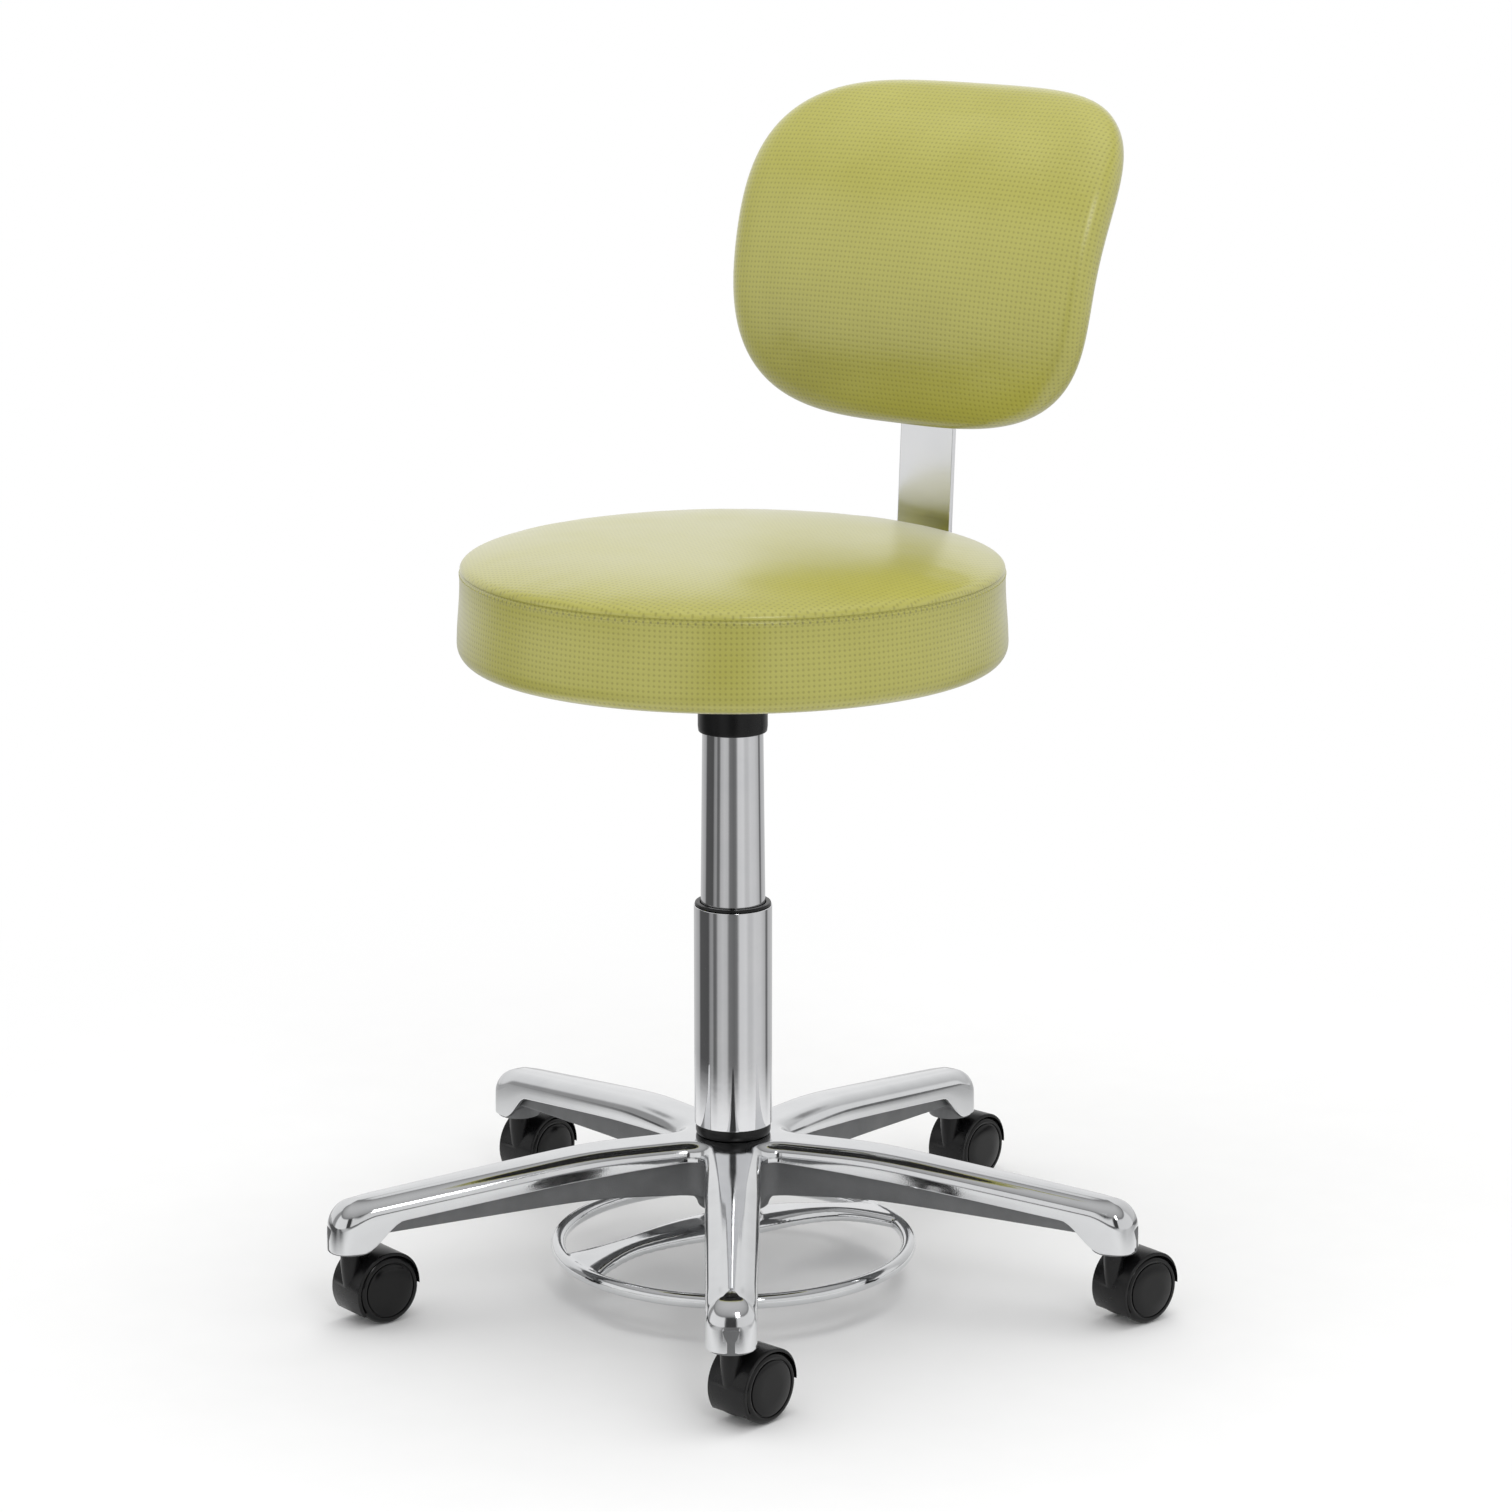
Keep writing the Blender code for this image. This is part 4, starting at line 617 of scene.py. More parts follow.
# Black paint on steel: satin, with the fine orange peel of a sprayed coat
black_steel = finish(
    "black_painted_steel", ("#19191A", "#272728"), (0.025, {"Detail": 5.0}),
    relief=((0.0014, 1.0, 0.25, 0.0003),), values={"Roughness": 0.42, "IOR": 1.5},
)

for node, surface in (
    ("gas_cylinder", black_steel), ("gas_rod", chrome), ("gas_piston", black_nylon),
    ("guide_ring", black_nylon), ("tube_cap", zinc_steel), ("valve_pin", zinc_steel),
    ("swivel_bush", black_nylon), ("seat_socket", zinc_steel),
):
    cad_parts[node].material_slots[0].material = surface

# Foot release: a polished cast ring that hangs under the hub by two arched spokes. Pressed anywhere, it
# rocks a zinc-plated disc inside the hub, which lifts the gas spring's valve pin.

RING_RADIUS = 0.1332
RING_BAR = 0.0056
RING_HEIGHT = 0.0323
RING_AZIMUTH = -23.5
RING_HUB_TOP = 0.0573
RING_HUB_FOOT = 0.0453
RING_HUB_RADIUS = 0.0220
SPOKE_STATIONS = 28
SPOKE_DEPTH = 0.0110
SPOKE_ARCH = 2.2
SPOKE_FALL = 0.0035
SPOKE_ROOT_HALF = 0.0205
SPOKE_NARROWING = 0.0085
SPOKE_FLARE = 0.0180
FLARE_START = 0.58


def spoke_shape(azimuth):
    """A face on the hub's side, drawn out station by station to the ring, where the spoke flares."""
    along = heading(azimuth)
    across = Vector((-along.y, along.x, 0.0))
    bm = bmesh.new()
    start = RING_HUB_RADIUS / 3
    crest, end_top = RING_HUB_TOP - SPOKE_FALL, RING_HEIGHT + RING_BAR * 0.8

    def section(share):
        reach = start + (RING_RADIUS - start) * share
        top = crest - (crest - end_top) * share**SPOKE_ARCH
        low = top - SPOKE_DEPTH + (SPOKE_DEPTH - RING_BAR * 1.6) * share
        half = SPOKE_ROOT_HALF - SPOKE_NARROWING * smooth_step(1.5 * share)
        half += SPOKE_FLARE * (max(share - FLARE_START, 0.0) / (1 - FLARE_START)) ** 2
        outline = [
            (-half, low), (half, low), (half, low + (top - low) * 0.55),
            (half * 0.86, low + (top - low) * 0.88), (half * 0.5, top), (-half * 0.5, top),
            (-half * 0.86, low + (top - low) * 0.88), (-half, low + (top - low) * 0.55),
        ]
        return [along * reach + across * side + Vector((0, 0, height)) for side, height in outline]

    face = bm.faces.new([bm.verts.new(point) for point in section(0.0)])
    for station in range(1, SPOKE_STATIONS + 1):
        ring = bmesh.ops.extrude_face_region(bm, geom=[face])
        face = next(g for g in ring["geom"] if isinstance(g, bmesh.types.BMFace))
        for vert, point in zip(face.verts, section(station / SPOKE_STATIONS)):
            vert.co = point
    return recalculated(bm)


def ring_shape():
    torus = bmesh.new()
    bmesh.ops.create_circle(torus, segments=24, radius=RING_BAR)
    moved(torus, Matrix.Translation((RING_RADIUS, 0.0, RING_HEIGHT)) @ Matrix.Rotation(pi / 2, 4, "X"))
    bmesh.ops.spin(
        torus, geom=torus.verts[:] + torus.edges[:], cent=(0, 0, 0), axis=(0, 0, 1), angle=2 * pi, steps=180,
        use_merge=True,
    )
    recalculated(torus)
    hub = rounded(bar(RING_HUB_RADIUS, RING_HUB_FOOT, RING_HUB_TOP, 64), 0.0020)
    return gathered(torus, spoke_shape(RING_AZIMUTH), spoke_shape(RING_AZIMUTH + 180), hub)


def melted(bm, voxel, passes=0):
    """Fuses a shape on a voxel grid; smoothing passes fillet its inner corners."""
    obj = loose(bm)
    grid = obj.modifiers.new("voxels", "REMESH")
    grid.mode = "VOXEL"
    grid.voxel_size = voxel
    if passes:
        soften = obj.modifiers.new("fillets", "SMOOTH")
        soften.factor = 0.5
        soften.iterations = passes
    return settled(obj)


show(
    "foot_release_ring", melted(ring_shape(), voxel=0.0011, passes=8), [polished_aluminium], "foot_ring",
    ["foot_ring"], crease=60,
)
rocker = [
    (0.0, 0.0720), (0.0220, 0.0720), (0.0220, 0.0680), (0.0070, 0.0680), (0.0070, RING_HUB_TOP + FIT_GAP),
    (0.0033, RING_HUB_TOP + FIT_GAP), (0.0033, 0.0674), (0.0, 0.0674),
]
show(
    "rocker_disc", lathe(rocker, closed=False, rounding=0.0005), [zinc_steel], "foot_ring",
    ["rocker"],
)
retainer = [(0.0110, 0.0677), (0.0235, 0.0677), (0.0235, 0.0643), (0.0110, 0.0643)]
show(
    "rocker_retainer", lathe(retainer, rounding=0.0005), [zinc_steel], "base", ["retaining_ring"],
)


def screw_shape(shank, tip, head_top, head_radius, head_foot, socket):
    """A cap screw about Z, its head low, with a hexagon socket sunk into the head's face."""
    profile = [
        (0.0, tip), (shank * 0.8, tip), (shank, tip - shank * 0.3), (shank, head_top), (head_radius, head_top),
        (head_radius, head_foot + head_radius * 0.25), (head_radius * 0.82, head_foot), (0.0, head_foot),
    ]
    head = lathe(profile, 48, closed=False, rounding=0.0002)
    hexagon = bar(socket, head_foot - 0.001, head_foot + (head_top - head_foot) * 0.7, 6)
    return combined(head, ("DIFFERENCE", hexagon))


screw_top = RING_HUB_FOOT - FIT_GAP
screw = screw_shape(
    shank=0.0030, tip=0.0671, head_top=screw_top, head_radius=0.0060, head_foot=screw_top - 0.0030,
    socket=0.0029,
)
show("rocker_cap_screw", screw, [zinc_steel], "foot_ring", ["rocker_screw"])

# Seat swivel: a black moulded collar hides the turning socket, which is fixed to a black painted plate. Four
# cap screws hold the plate to a plywood board under the seat's foam.

PLATE_LOW, PLATE_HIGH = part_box("seat_plate")[0].z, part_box("seat_plate")[1].z
PLATE_SIDE = 0.130
PLATE_CORNER = 0.0116
SEAT_UNDERSIDE = PLATE_HIGH + FIT_GAP
COLLAR_FOOT, COLLAR_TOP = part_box("seat_collar")[0].z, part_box("seat_collar")[1].z
BOARD_RADIUS = 0.1850
BOARD_TOP = SEAT_UNDERSIDE + 0.0120
collar = [
    (0.0235, COLLAR_TOP), (0.0260, COLLAR_TOP), (0.0260, COLLAR_FOOT + 0.0040), (0.0255, COLLAR_FOOT),
    (0.0235, COLLAR_FOOT),
]
show(
    "seat_collar_sleeve", lathe(collar, rounding=0.0006), [black_nylon], "seat",
    ["seat_collar"],
)


def plate_shape(width, length, corner, low, high, rounding):
    """A plate with round corners and broken edges."""
    bm = bmesh.new()
    bmesh.ops.create_cube(bm, size=1.0)
    bmesh.ops.scale(bm, vec=(width, length, high - low), verts=bm.verts)
    bmesh.ops.translate(bm, vec=(0, 0, (high + low) / 2), verts=bm.verts)
    upright = [e for e in bm.edges if abs(e.verts[0].co.z - e.verts[1].co.z) > (high - low) / 2]
    bmesh.ops.bevel(
        bm, geom=upright, offset=corner, offset_type="OFFSET", segments=8, profile=0.5, affect="EDGES",
        material=-1,
    )
    return rounded(bm, rounding, 2)


show(
    "seat_mounting_plate", plate_shape(PLATE_SIDE, PLATE_SIDE, PLATE_CORNER, PLATE_LOW, PLATE_HIGH, 0.0006),
    [black_steel], "seat", ["seat_plate"],
)
plate_screw = screw_shape(
    shank=0.0030, tip=BOARD_TOP - 0.0006, head_top=PLATE_LOW - FIT_GAP, head_radius=0.0058,
    head_foot=PLATE_LOW - 0.0038, socket=0.0026,
)
for number in range(4):
    low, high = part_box("plate_bolt_%d" % (number + 1))
    place = Matrix.Translation(((low.x + high.x) / 2, (low.y + high.y) / 2, 0.0))
    show(
        "plate_screw_%d" % (number + 1), copied(plate_screw, place), [zinc_steel], "seat",
        ["plate_bolt_%d" % (number + 1)],
    )
plate_screw.free()

# Birch plywood, stained black: long grain lines just show through the stain, and glue lines at its edge
plywood = new_material("stained_birch_plywood")
m = plywood
place = add_node(m, "ShaderNodeTexCoord").outputs["Object"]
stretched = add_node(m, "ShaderNodeMapping", {"Vector": place, "Scale": (1.0, 0.06, 1.0)})
grain = add_node(m, "ShaderNodeTexNoise", {"Vector": stretched, "Scale": 1 / 0.0035, "Detail": 6.0})
plies = add_node(m, "ShaderNodeTexWave", {"Vector": place, "Scale": 0.314 / 0.0030}, bands_direction="Z")
tint = add_node(m, "ShaderNodeMix", {0: grain, 6: linear("#1D1B19"), 7: linear("#302C29")}, data_type="RGBA")
edged = add_node(
    m, "ShaderNodeMix", {0: plies.outputs["Fac"], 6: linear("#161412"), 7: tint.outputs[2]}, data_type="RGBA",
)
pores = add_node(m, "ShaderNodeBump", {"Height": grain, "Strength": 0.3, "Distance": 0.0004})
skin = add_node(
    m, "ShaderNodeBsdfPrincipled", {"Base Color": edged.outputs[2], "Roughness": 0.62, "Normal": pores},
)
add_node(m, "ShaderNodeOutputMaterial", {"Surface": skin})

board = lathe(
    [(0.0, BOARD_TOP), (BOARD_RADIUS, BOARD_TOP), (BOARD_RADIUS, SEAT_UNDERSIDE), (0.0, SEAT_UNDERSIDE)], 144,
    closed=False, rounding=0.0008,
)
show("seat_plywood_board", board, [plywood], "seat", ["seat_board"])

# Seat cushion: moulded foam on the board under a vinyl cover of two cuts, a round top panel and a side band,
# joined by a top-stitched seam. The cover is pulled tight, so it swells between its seam and its lower edge.

SEAT_RADIUS = 0.2032
SEAM_HEIGHT = SEAT_UNDERSIDE + 0.0690
SEAM_RADIUS = SEAT_RADIUS - 0.0029
SEAT_CROWN = 0.0154
SEAT_SWELL = 0.0040
BAND_BULGE = 0.0008
SEAT_EDGE = 0.0140
SEAM_DEPTH = 0.0011
SEAT_SIDES = 192
TOP_RINGS = 30
BAND_RINGS = 16
EDGE_RINGS = 6
WEAVE_PITCH = 0.0039
STITCHES = 236
STITCH_PITCH = 2 * pi * SEAT_RADIUS / STITCHES
STITCH_DROP = 0.0033
SWELL_FRAMES = 20


def seat_profile():
    """(radius, height) from the top's middle over the seam, the band and the lower edge to the board."""
    points = []
    for ring in range(TOP_RINGS + 1):
        share = sin(pi / 2 * ring / TOP_RINGS)
        points.append((SEAM_RADIUS * share, SEAM_HEIGHT + SEAT_CROWN * (1 - share**6) ** 0.5))
    points += [
        (SEAM_RADIUS - SEAM_DEPTH * 0.7, SEAM_HEIGHT - 0.0006),
        (SEAM_RADIUS - SEAM_DEPTH, SEAM_HEIGHT - 0.0012),
        (SEAM_RADIUS - SEAM_DEPTH * 0.3, SEAM_HEIGHT - 0.0019),
        (SEAM_RADIUS + 0.0004, SEAM_HEIGHT - 0.0028),
    ]
    edge = SEAT_UNDERSIDE + SEAT_EDGE
    start = SEAM_HEIGHT - 0.0028
    for ring in range(1, BAND_RINGS + 1):
        share = ring / BAND_RINGS
        bulge = 0.0004 + (0.0029 - 0.0004) * smooth_step(1.2 * share) - BAND_BULGE * sin(pi * share)
        points.append((SEAM_RADIUS + bulge, start - (start - edge) * share))
    for ring in range(1, EDGE_RINGS + 1):
        turn = pi / 2 * ring / EDGE_RINGS
        points.append((SEAT_RADIUS - SEAT_EDGE * (1 - cos(turn)), edge - SEAT_EDGE * sin(turn)))
    return points + [
        (BOARD_RADIUS + 0.0006, SEAT_UNDERSIDE),
        (BOARD_RADIUS + FIT_GAP, SEAT_UNDERSIDE + 0.0004),
        (BOARD_RADIUS + FIT_GAP, BOARD_TOP + FIT_GAP),
        (0.0, BOARD_TOP + FIT_GAP),
    ]


def swelling(bm, voxel, held, cap):
    """Blows the form up as a stuffed cover would swell; gives how far each point of its surface moves."""
    obj = loose(melted(bm, voxel))
    rest = [v.co.copy() for v in obj.data.vertices]
    pins = obj.vertex_groups.new(name="sewn")
    for index, point in enumerate(rest):
        pins.add([index], held(point), "REPLACE")
    cloth = obj.modifiers.new("cover", "CLOTH")
    stuffing = {
        "quality": 6, "mass": 0.4, "tension_stiffness": 12, "compression_stiffness": 12, "shear_stiffness": 8,
        "bending_stiffness": 2, "use_pressure": True, "uniform_pressure_force": 4, "vertex_group_mass": "sewn",
    }
    for setting, value in stuffing.items():
        setattr(cloth.settings, setting, value)
    cloth.settings.effector_weights.gravity = 0
    cloth.collision_settings.use_collision = False
    cloth.point_cache.frame_start = 1
    cloth.point_cache.frame_end = SWELL_FRAMES
    scene = bpy.context.scene
    for step in range(1, SWELL_FRAMES + 1):
        scene.frame_set(step)
    graph = bpy.context.evaluated_depsgraph_get()
    moved = obj.evaluated_get(graph).to_mesh()
    shifts = [v.co - start for v, start in zip(moved.vertices, rest)]
    bpy.data.objects.remove(obj)
    scene.frame_set(1)
    furthest = max(shift.length for shift in shifts)
    scale = min(cap / furthest, 1.0)
    tree = KDTree(len(rest))
    for index, point in enumerate(rest):
        tree.insert(point, index)
    tree.balance()

    def shift_at(point):
        near = tree.find_n(point, 4)
        weights = [1 / (distance + 0.0005) for _, index, distance in near]
        total = Vector((0.0, 0.0, 0.0))
        for (_, index, distance), weight in zip(near, weights):
            total += shifts[index] * weight
        return total * (scale / sum(weights))

    return shift_at


def swell(bm, shift_at, free, passes):
    """Moves the free points of a fine mesh out by the smoothed swelling, each along its own normal."""
    bm.normal_update()
    bm.verts.index_update()
    amount = np.array([shift_at(v.co).dot(v.normal) * free(v.co) for v in bm.verts])
    pairs = np.array([[v.index for v in e.verts] for e in bm.edges])
    degree = np.bincount(pairs.ravel(), minlength=len(amount))
    for step in range(passes):
        total = np.zeros(len(amount))
        np.add.at(total, pairs[:, 0], amount[pairs[:, 1]])
        np.add.at(total, pairs[:, 1], amount[pairs[:, 0]])
        amount = (amount + total / degree) / 2
    for vert, out in zip(bm.verts, amount):
        vert.co += vert.normal * float(out) * free(vert.co)


def seat_held(point):
    """The cover is fixed under the board's edge and at the seam."""
    at_seam = abs(point.z - SEAM_HEIGHT) < 0.004 and hypot(point.x, point.y) > SEAM_RADIUS - 0.006
    return 1.0 if at_seam or point.z < SEAT_UNDERSIDE + 0.006 else 0.0


def seat_free(point):
    """Only the top and the band may swell, and they stay put at the seam and near the lower edge."""
    from_seam = Vector((hypot(point.x, point.y) - SEAM_RADIUS, point.z - SEAM_HEIGHT)).length
    return smooth_step((point.z - SEAT_UNDERSIDE - 0.006) / 0.012) * smooth_step((from_seam - 0.003) / 0.008)


def measured(bm, lay):
    """Writes the cover's own flat coordinates in metres, so that its pattern follows the surface."""
    layer = bm.loops.layers.uv.new("cover")
    for face in bm.faces:
        for loop, place in zip(face.loops, lay(face)):
            loop[layer].uv = place


def seat_lay(face):
    """Top panel: laid flat. Band: wrapped round, its length counted along the seam."""
    if face.calc_center_median().z > SEAM_HEIGHT - 0.0008 and face.normal.z > 0.05:
        return [(v.co.x, v.co.y) for v in face.verts]
    middle = face.calc_center_median()
    start = np.arctan2(middle.y, middle.x)
    places = []
    for vert in face.verts:
        turn = (np.arctan2(vert.co.y, vert.co.x) - start + pi) % (2 * pi) - pi
        places.append(((start + turn) * SEAT_RADIUS, vert.co.z))
    return places


# Embossed upholstery vinyl: olive, calendered with rows of small pits 4 mm apart between soft pillows, a
# fine leather grain, and a soft-gloss top coat that turns pale where it is seen at a low angle; the pits
# are also darkened towards dark olive as painted shade
vinyl = new_material("embossed_olive_vinyl")
m = vinyl
cover = add_node(m, "ShaderNodeUVMap", uv_map="cover")
place = add_node(m, "ShaderNodeTexCoord").outputs["Object"]
waves = add_node(m, "ShaderNodeVectorMath", {0: cover, "Scale": 2 * pi / WEAVE_PITCH}, operation="SCALE")
split = add_node(m, "ShaderNodeSeparateXYZ", {0: waves})
across = add_node(m, "ShaderNodeMath", {0: split}, operation="COSINE")
along = add_node(m, "ShaderNodeMath", {0: split.outputs[1]}, operation="COSINE")
mesh_height = add_node(m, "ShaderNodeMath", {0: across, 1: along}, operation="ADD")
pits = add_node(
    m, "ShaderNodeMapRange", {"Value": mesh_height, "From Min": 0.30, "From Max": 1.9},
    interpolation_type="SMOOTHSTEP",
)
pillows = add_node(
    m, "ShaderNodeMapRange",
    {"Value": mesh_height, "From Min": -2.0, "From Max": 2.0, "To Min": 1.0, "To Max": 0.0},
)
leather = add_node(m, "ShaderNodeTexVoronoi", {"Vector": place, "Scale": 1 / 0.0011}, feature="SMOOTH_F1")
shades = add_node(m, "ShaderNodeTexNoise", {"Vector": place, "Scale": 1 / 0.060, "Detail": 4.0})
tint = add_node(m, "ShaderNodeMix", {0: shades, 6: linear("#A5A143"), 7: linear("#B0AD50")}, data_type="RGBA")
# Painted shade: the colour darkens towards dark olive in the pits, as though shade fell in them
shadowed = add_node(m, "ShaderNodeMath", {0: pits, 1: 0.44}, operation="MULTIPLY")
pit_shade_painted = add_node(
    m, "ShaderNodeMix", {0: shadowed, 6: tint.outputs[2], 7: linear("#726B1C")}, data_type="RGBA",
)
# Needle holes: painted shade, a dark point between each two stitches under the seam where a hole would be,
# in a channel that the thread draws in
flat_place = add_node(m, "ShaderNodeSeparateXYZ", {0: cover})
needle = add_node(m, "ShaderNodeMath", {0: flat_place, 1: 2 * pi / STITCH_PITCH}, operation="MULTIPLY")
rhythm = add_node(m, "ShaderNodeMath", {0: needle}, operation="COSINE")
between = add_node(m, "ShaderNodeMapRange", {"Value": rhythm, "From Min": -0.35, "From Max": -0.85})
from_row = add_node(
    m, "ShaderNodeMath", {0: flat_place.outputs[1], 1: SEAM_HEIGHT - STITCH_DROP}, operation="SUBTRACT",
)
off_row = add_node(m, "ShaderNodeMath", {0: from_row}, operation="ABSOLUTE")
on_row = add_node(
    m, "ShaderNodeMapRange", {"Value": off_row, "From Min": 0.0013, "From Max": 0.0005, "To Max": 0.55},
)
channel = add_node(
    m, "ShaderNodeMapRange", {"Value": off_row, "From Max": 0.0022}, interpolation_type="SMOOTHSTEP",
)
needle_hole_shade = add_node(m, "ShaderNodeMath", {0: between, 1: on_row}, operation="MULTIPLY")
hole_shade_painted = add_node(
    m, "ShaderNodeMix", {0: needle_hole_shade, 6: pit_shade_painted.outputs[2], 7: linear("#46421A")}, data_type="RGBA",
)
drawn_in = add_node(m, "ShaderNodeBump", {"Height": channel, "Strength": 0.6, "Distance": 0.0008})
gloss = add_node(
    m, "ShaderNodeMapRange",
    {"Value": shades, "From Min": 0.3, "From Max": 0.7, "To Min": 0.30, "To Max": 0.40},
)
embossed = add_node(
    m, "ShaderNodeBump",
    {"Height": pits, "Strength": 0.34, "Distance": 0.0004, "Normal": drawn_in}, invert=True,
)
cushioned = add_node(
    m, "ShaderNodeBump", {"Height": pillows, "Strength": 0.18, "Distance": 0.0004, "Normal": embossed},
)
grained = add_node(
    m, "ShaderNodeBump", {"Height": leather, "Strength": 0.12, "Distance": 0.0002, "Normal": cushioned},
)
skin = add_node(
    m, "ShaderNodeBsdfPrincipled",
    {"Base Color": hole_shade_painted.outputs[2], "Roughness": gloss, "IOR": 1.5, "Coat Weight": 1.0,
     "Coat Roughness": 0.28, "Normal": grained},
)
add_node(m, "ShaderNodeOutputMaterial", {"Surface": skin})

cushion = lathe(seat_profile(), SEAT_SIDES, closed=False)
form = [(r, z) for r, z in seat_profile()[:-4] if z > SEAM_HEIGHT - 0.0001 or z < SEAM_HEIGHT - 0.0025]
stuffed = lathe(form + [(0.0, SEAT_UNDERSIDE)], 144, closed=False)
shift_at = swelling(stuffed, voxel=0.0055, held=seat_held, cap=SEAT_SWELL)
swell(cushion, shift_at, seat_free, passes=6)
measured(cushion, seat_lay)
seat = show("seat_upholstery", cushion, [vinyl], "seat", ["seat_cushion"], crease=60)
soft = seat.modifiers.new("smooth cover", "SUBSURF")
soft.levels = soft.render_levels = 1

# Seat stitching: a row of bonded polyester thread stitches round the band, just under the seam, which holds
# the cover's turned-in edges down. Each stitch is drawn into the vinyl at its ends.

# Bonded polyester thread: olive like the cover and matt, with the twist of its plies; the tint follows the
# twist's relief, so painted shade darkens the grooves between the plies
thread = finish(
    "olive_bonded_thread", ("#98943E", "#B8B55C"), (0.0006, {"Detail": 2.0}),
    relief=((0.0006, 2.0, 0.4, 0.0002),), values={"Roughness": 0.5},
)


def stitches(count, radius, height, length, thickness):
    """Stitches round the band: small spindles, spun round the seat's axis."""
    bm = bmesh.new()
    bmesh.ops.create_uvsphere(bm, u_segments=6, v_segments=5, radius=1.0)
    bmesh.ops.rotate(bm, verts=bm.verts, cent=(0, 0, 0), matrix=Matrix.Rotation(pi / 2, 3, "X"))
    bmesh.ops.scale(bm, vec=(thickness / 2, length / 2, thickness / 2), verts=bm.verts)
    bmesh.ops.translate(bm, vec=(radius, 0.0, height), verts=bm.verts)
    bmesh.ops.spin(
        bm, geom=bm.verts[:] + bm.edges[:] + bm.faces[:], cent=(0, 0, 0), axis=(0, 0, 1),
        angle=2 * pi * (count - 1) / count, steps=count - 1, use_duplicate=True,
    )
    return bm


stitch_height = SEAM_HEIGHT - STITCH_DROP
stitch_radius = max(
    hypot(v.co.x, v.co.y) for v in seat.data.vertices if abs(v.co.z - stitch_height) < 0.0025
)
show(
    "seat_stitching",
    stitches(STITCHES, stitch_radius - 0.0002, stitch_height, length=STITCH_PITCH * 0.7, thickness=0.0009),
    [thread], "seat", [], crease=60,
)

# Back bar: flat spring steel, bent up behind the seat and back again behind the cushion, ground on its faces
# and edges and chromium plated. It slides in a strap under the seat and in another on the backrest.

BAR_WIDTH = 0.0500
BAR_THICKNESS = 0.0048
BAR_TOP_FACE = SEAT_UNDERSIDE - FIT_GAP
BAR_INNER_END = 0.0830
BAR_BEND = 0.0120
BAR_LEAN = radians(3.03)
BAR_UPRIGHT = 0.1831
BAR_KNEE = 0.0600 + BAR_THICKNESS
BAR_UPPER_LEG = 0.1110
BACK_TILT = radians(17.8)
UPRIGHT_FACE = SEAT_RADIUS + 0.0298
BRACKET_STATION = 0.0510


def run_along(angle):
    """Direction of the bar in its own plane, counted from level towards upright."""
    return Vector((0.0, cos(angle), sin(angle)))


first_bend = pi / 2 - BAR_LEAN
last_run = pi / 2 - BACK_TILT
bend_start = Vector((0.0, UPRIGHT_FACE - BAR_BEND * sin(first_bend), BAR_TOP_FACE))
bend_centre = bend_start + Vector((0.0, 0.0, BAR_BEND))
upright_start = bend_centre + BAR_BEND * run_along(first_bend - pi / 2)
knee_start = upright_start + BAR_UPRIGHT * run_along(first_bend)
knee_centre = knee_start + BAR_KNEE * run_along(first_bend - pi / 2)
knee_end = knee_centre - BAR_KNEE * run_along(last_run - pi / 2)


def bar_shape():
    """The bar's end face, drawn out along its straights and spun round its two bends."""
    bm = bmesh.new()
    bmesh.ops.create_grid(bm, x_segments=1, y_segments=1, size=0.5)
    bmesh.ops.scale(bm, vec=(BAR_WIDTH, BAR_THICKNESS, 1.0), verts=bm.verts)
    bmesh.ops.bevel(
        bm, geom=bm.verts[:], offset=0.0010, offset_type="OFFSET", segments=4, profile=0.5, affect="VERTICES",
        material=-1,
    )
    end = Matrix.Translation((0.0, BAR_INNER_END, BAR_TOP_FACE - BAR_THICKNESS / 2))
    moved(bm, end @ Matrix.Rotation(pi / 2, 4, "X"))
    face = bm.faces[:]
    runs = (
        (bend_start - Vector((0.0, BAR_INNER_END, BAR_TOP_FACE)), bend_centre, first_bend),
        (BAR_UPRIGHT * run_along(first_bend), knee_centre, BAR_LEAN - BACK_TILT),
        (BAR_UPPER_LEG * run_along(last_run), None, 0.0),
    )
    for straight, centre, angle in runs:
        grown = bmesh.ops.extrude_face_region(bm, geom=face)["geom"]
        bmesh.ops.translate(bm, vec=straight, verts=[g for g in grown if isinstance(g, bmesh.types.BMVert)])
        face = [g for g in grown if isinstance(g, bmesh.types.BMFace)]
        if centre:
            spun = bmesh.ops.spin(bm, geom=face, cent=centre, axis=(1, 0, 0), angle=angle, steps=16)
            face = [g for g in spun["geom_last"] if isinstance(g, bmesh.types.BMFace)]
    return recalculated(bm)


# Satin chromium: plated over a belt-ground face, so it mirrors softly, with fine lines along the bar
satin_chrome = finish(
    "satin_chromium_plate", ("#DADBDD", "#E9E9EA"), (0.040, {"Detail": 4.0}),
    relief=((0.0009, 3.0, 0.04, 0.0002, (1.0, 0.02, 0.02)),), gloss=(0.3, 0.7, 0.13, 0.18),
    values={"Metallic": 1.0},
)

show("back_bar_strip", bar_shape(), [satin_chrome], "back_bar", ["back_bar"], crease=35)

# Straps and knobs: zinc-plated steel straps folded over the bar, one screwed under the seat's board and one on
# the backrest's board, each with a lobed black clamp knob whose stud presses on the bar.

STRAP_WALL = 0.0025
STRAP_PLAY = 0.0006
STRAP_FLANGE = 0.0210
KNOB_RADIUS = 0.0180
KNOB_HEIGHT = 0.0160
KNOB_LOBES = 6
KNOB_LOBE_DEPTH = 0.0016
STUD_RADIUS = 0.0040
STUD_RELEASE = 0.0018
SEAT_STRAP_REACH = 0.1125
STRAP_SCREW_ASIDE = 0.0386

back_frame = Matrix.Translation(knee_end + BRACKET_STATION * run_along(last_run))
back_frame = back_frame @ Matrix.Rotation(-BACK_TILT, 4, "X")
seat_frame = Matrix.Translation((0.0, SEAT_STRAP_REACH, BAR_TOP_FACE)) @ Matrix.Rotation(-pi / 2, 4, "X")
outwards = Matrix.Rotation(-pi / 2, 4, "X")


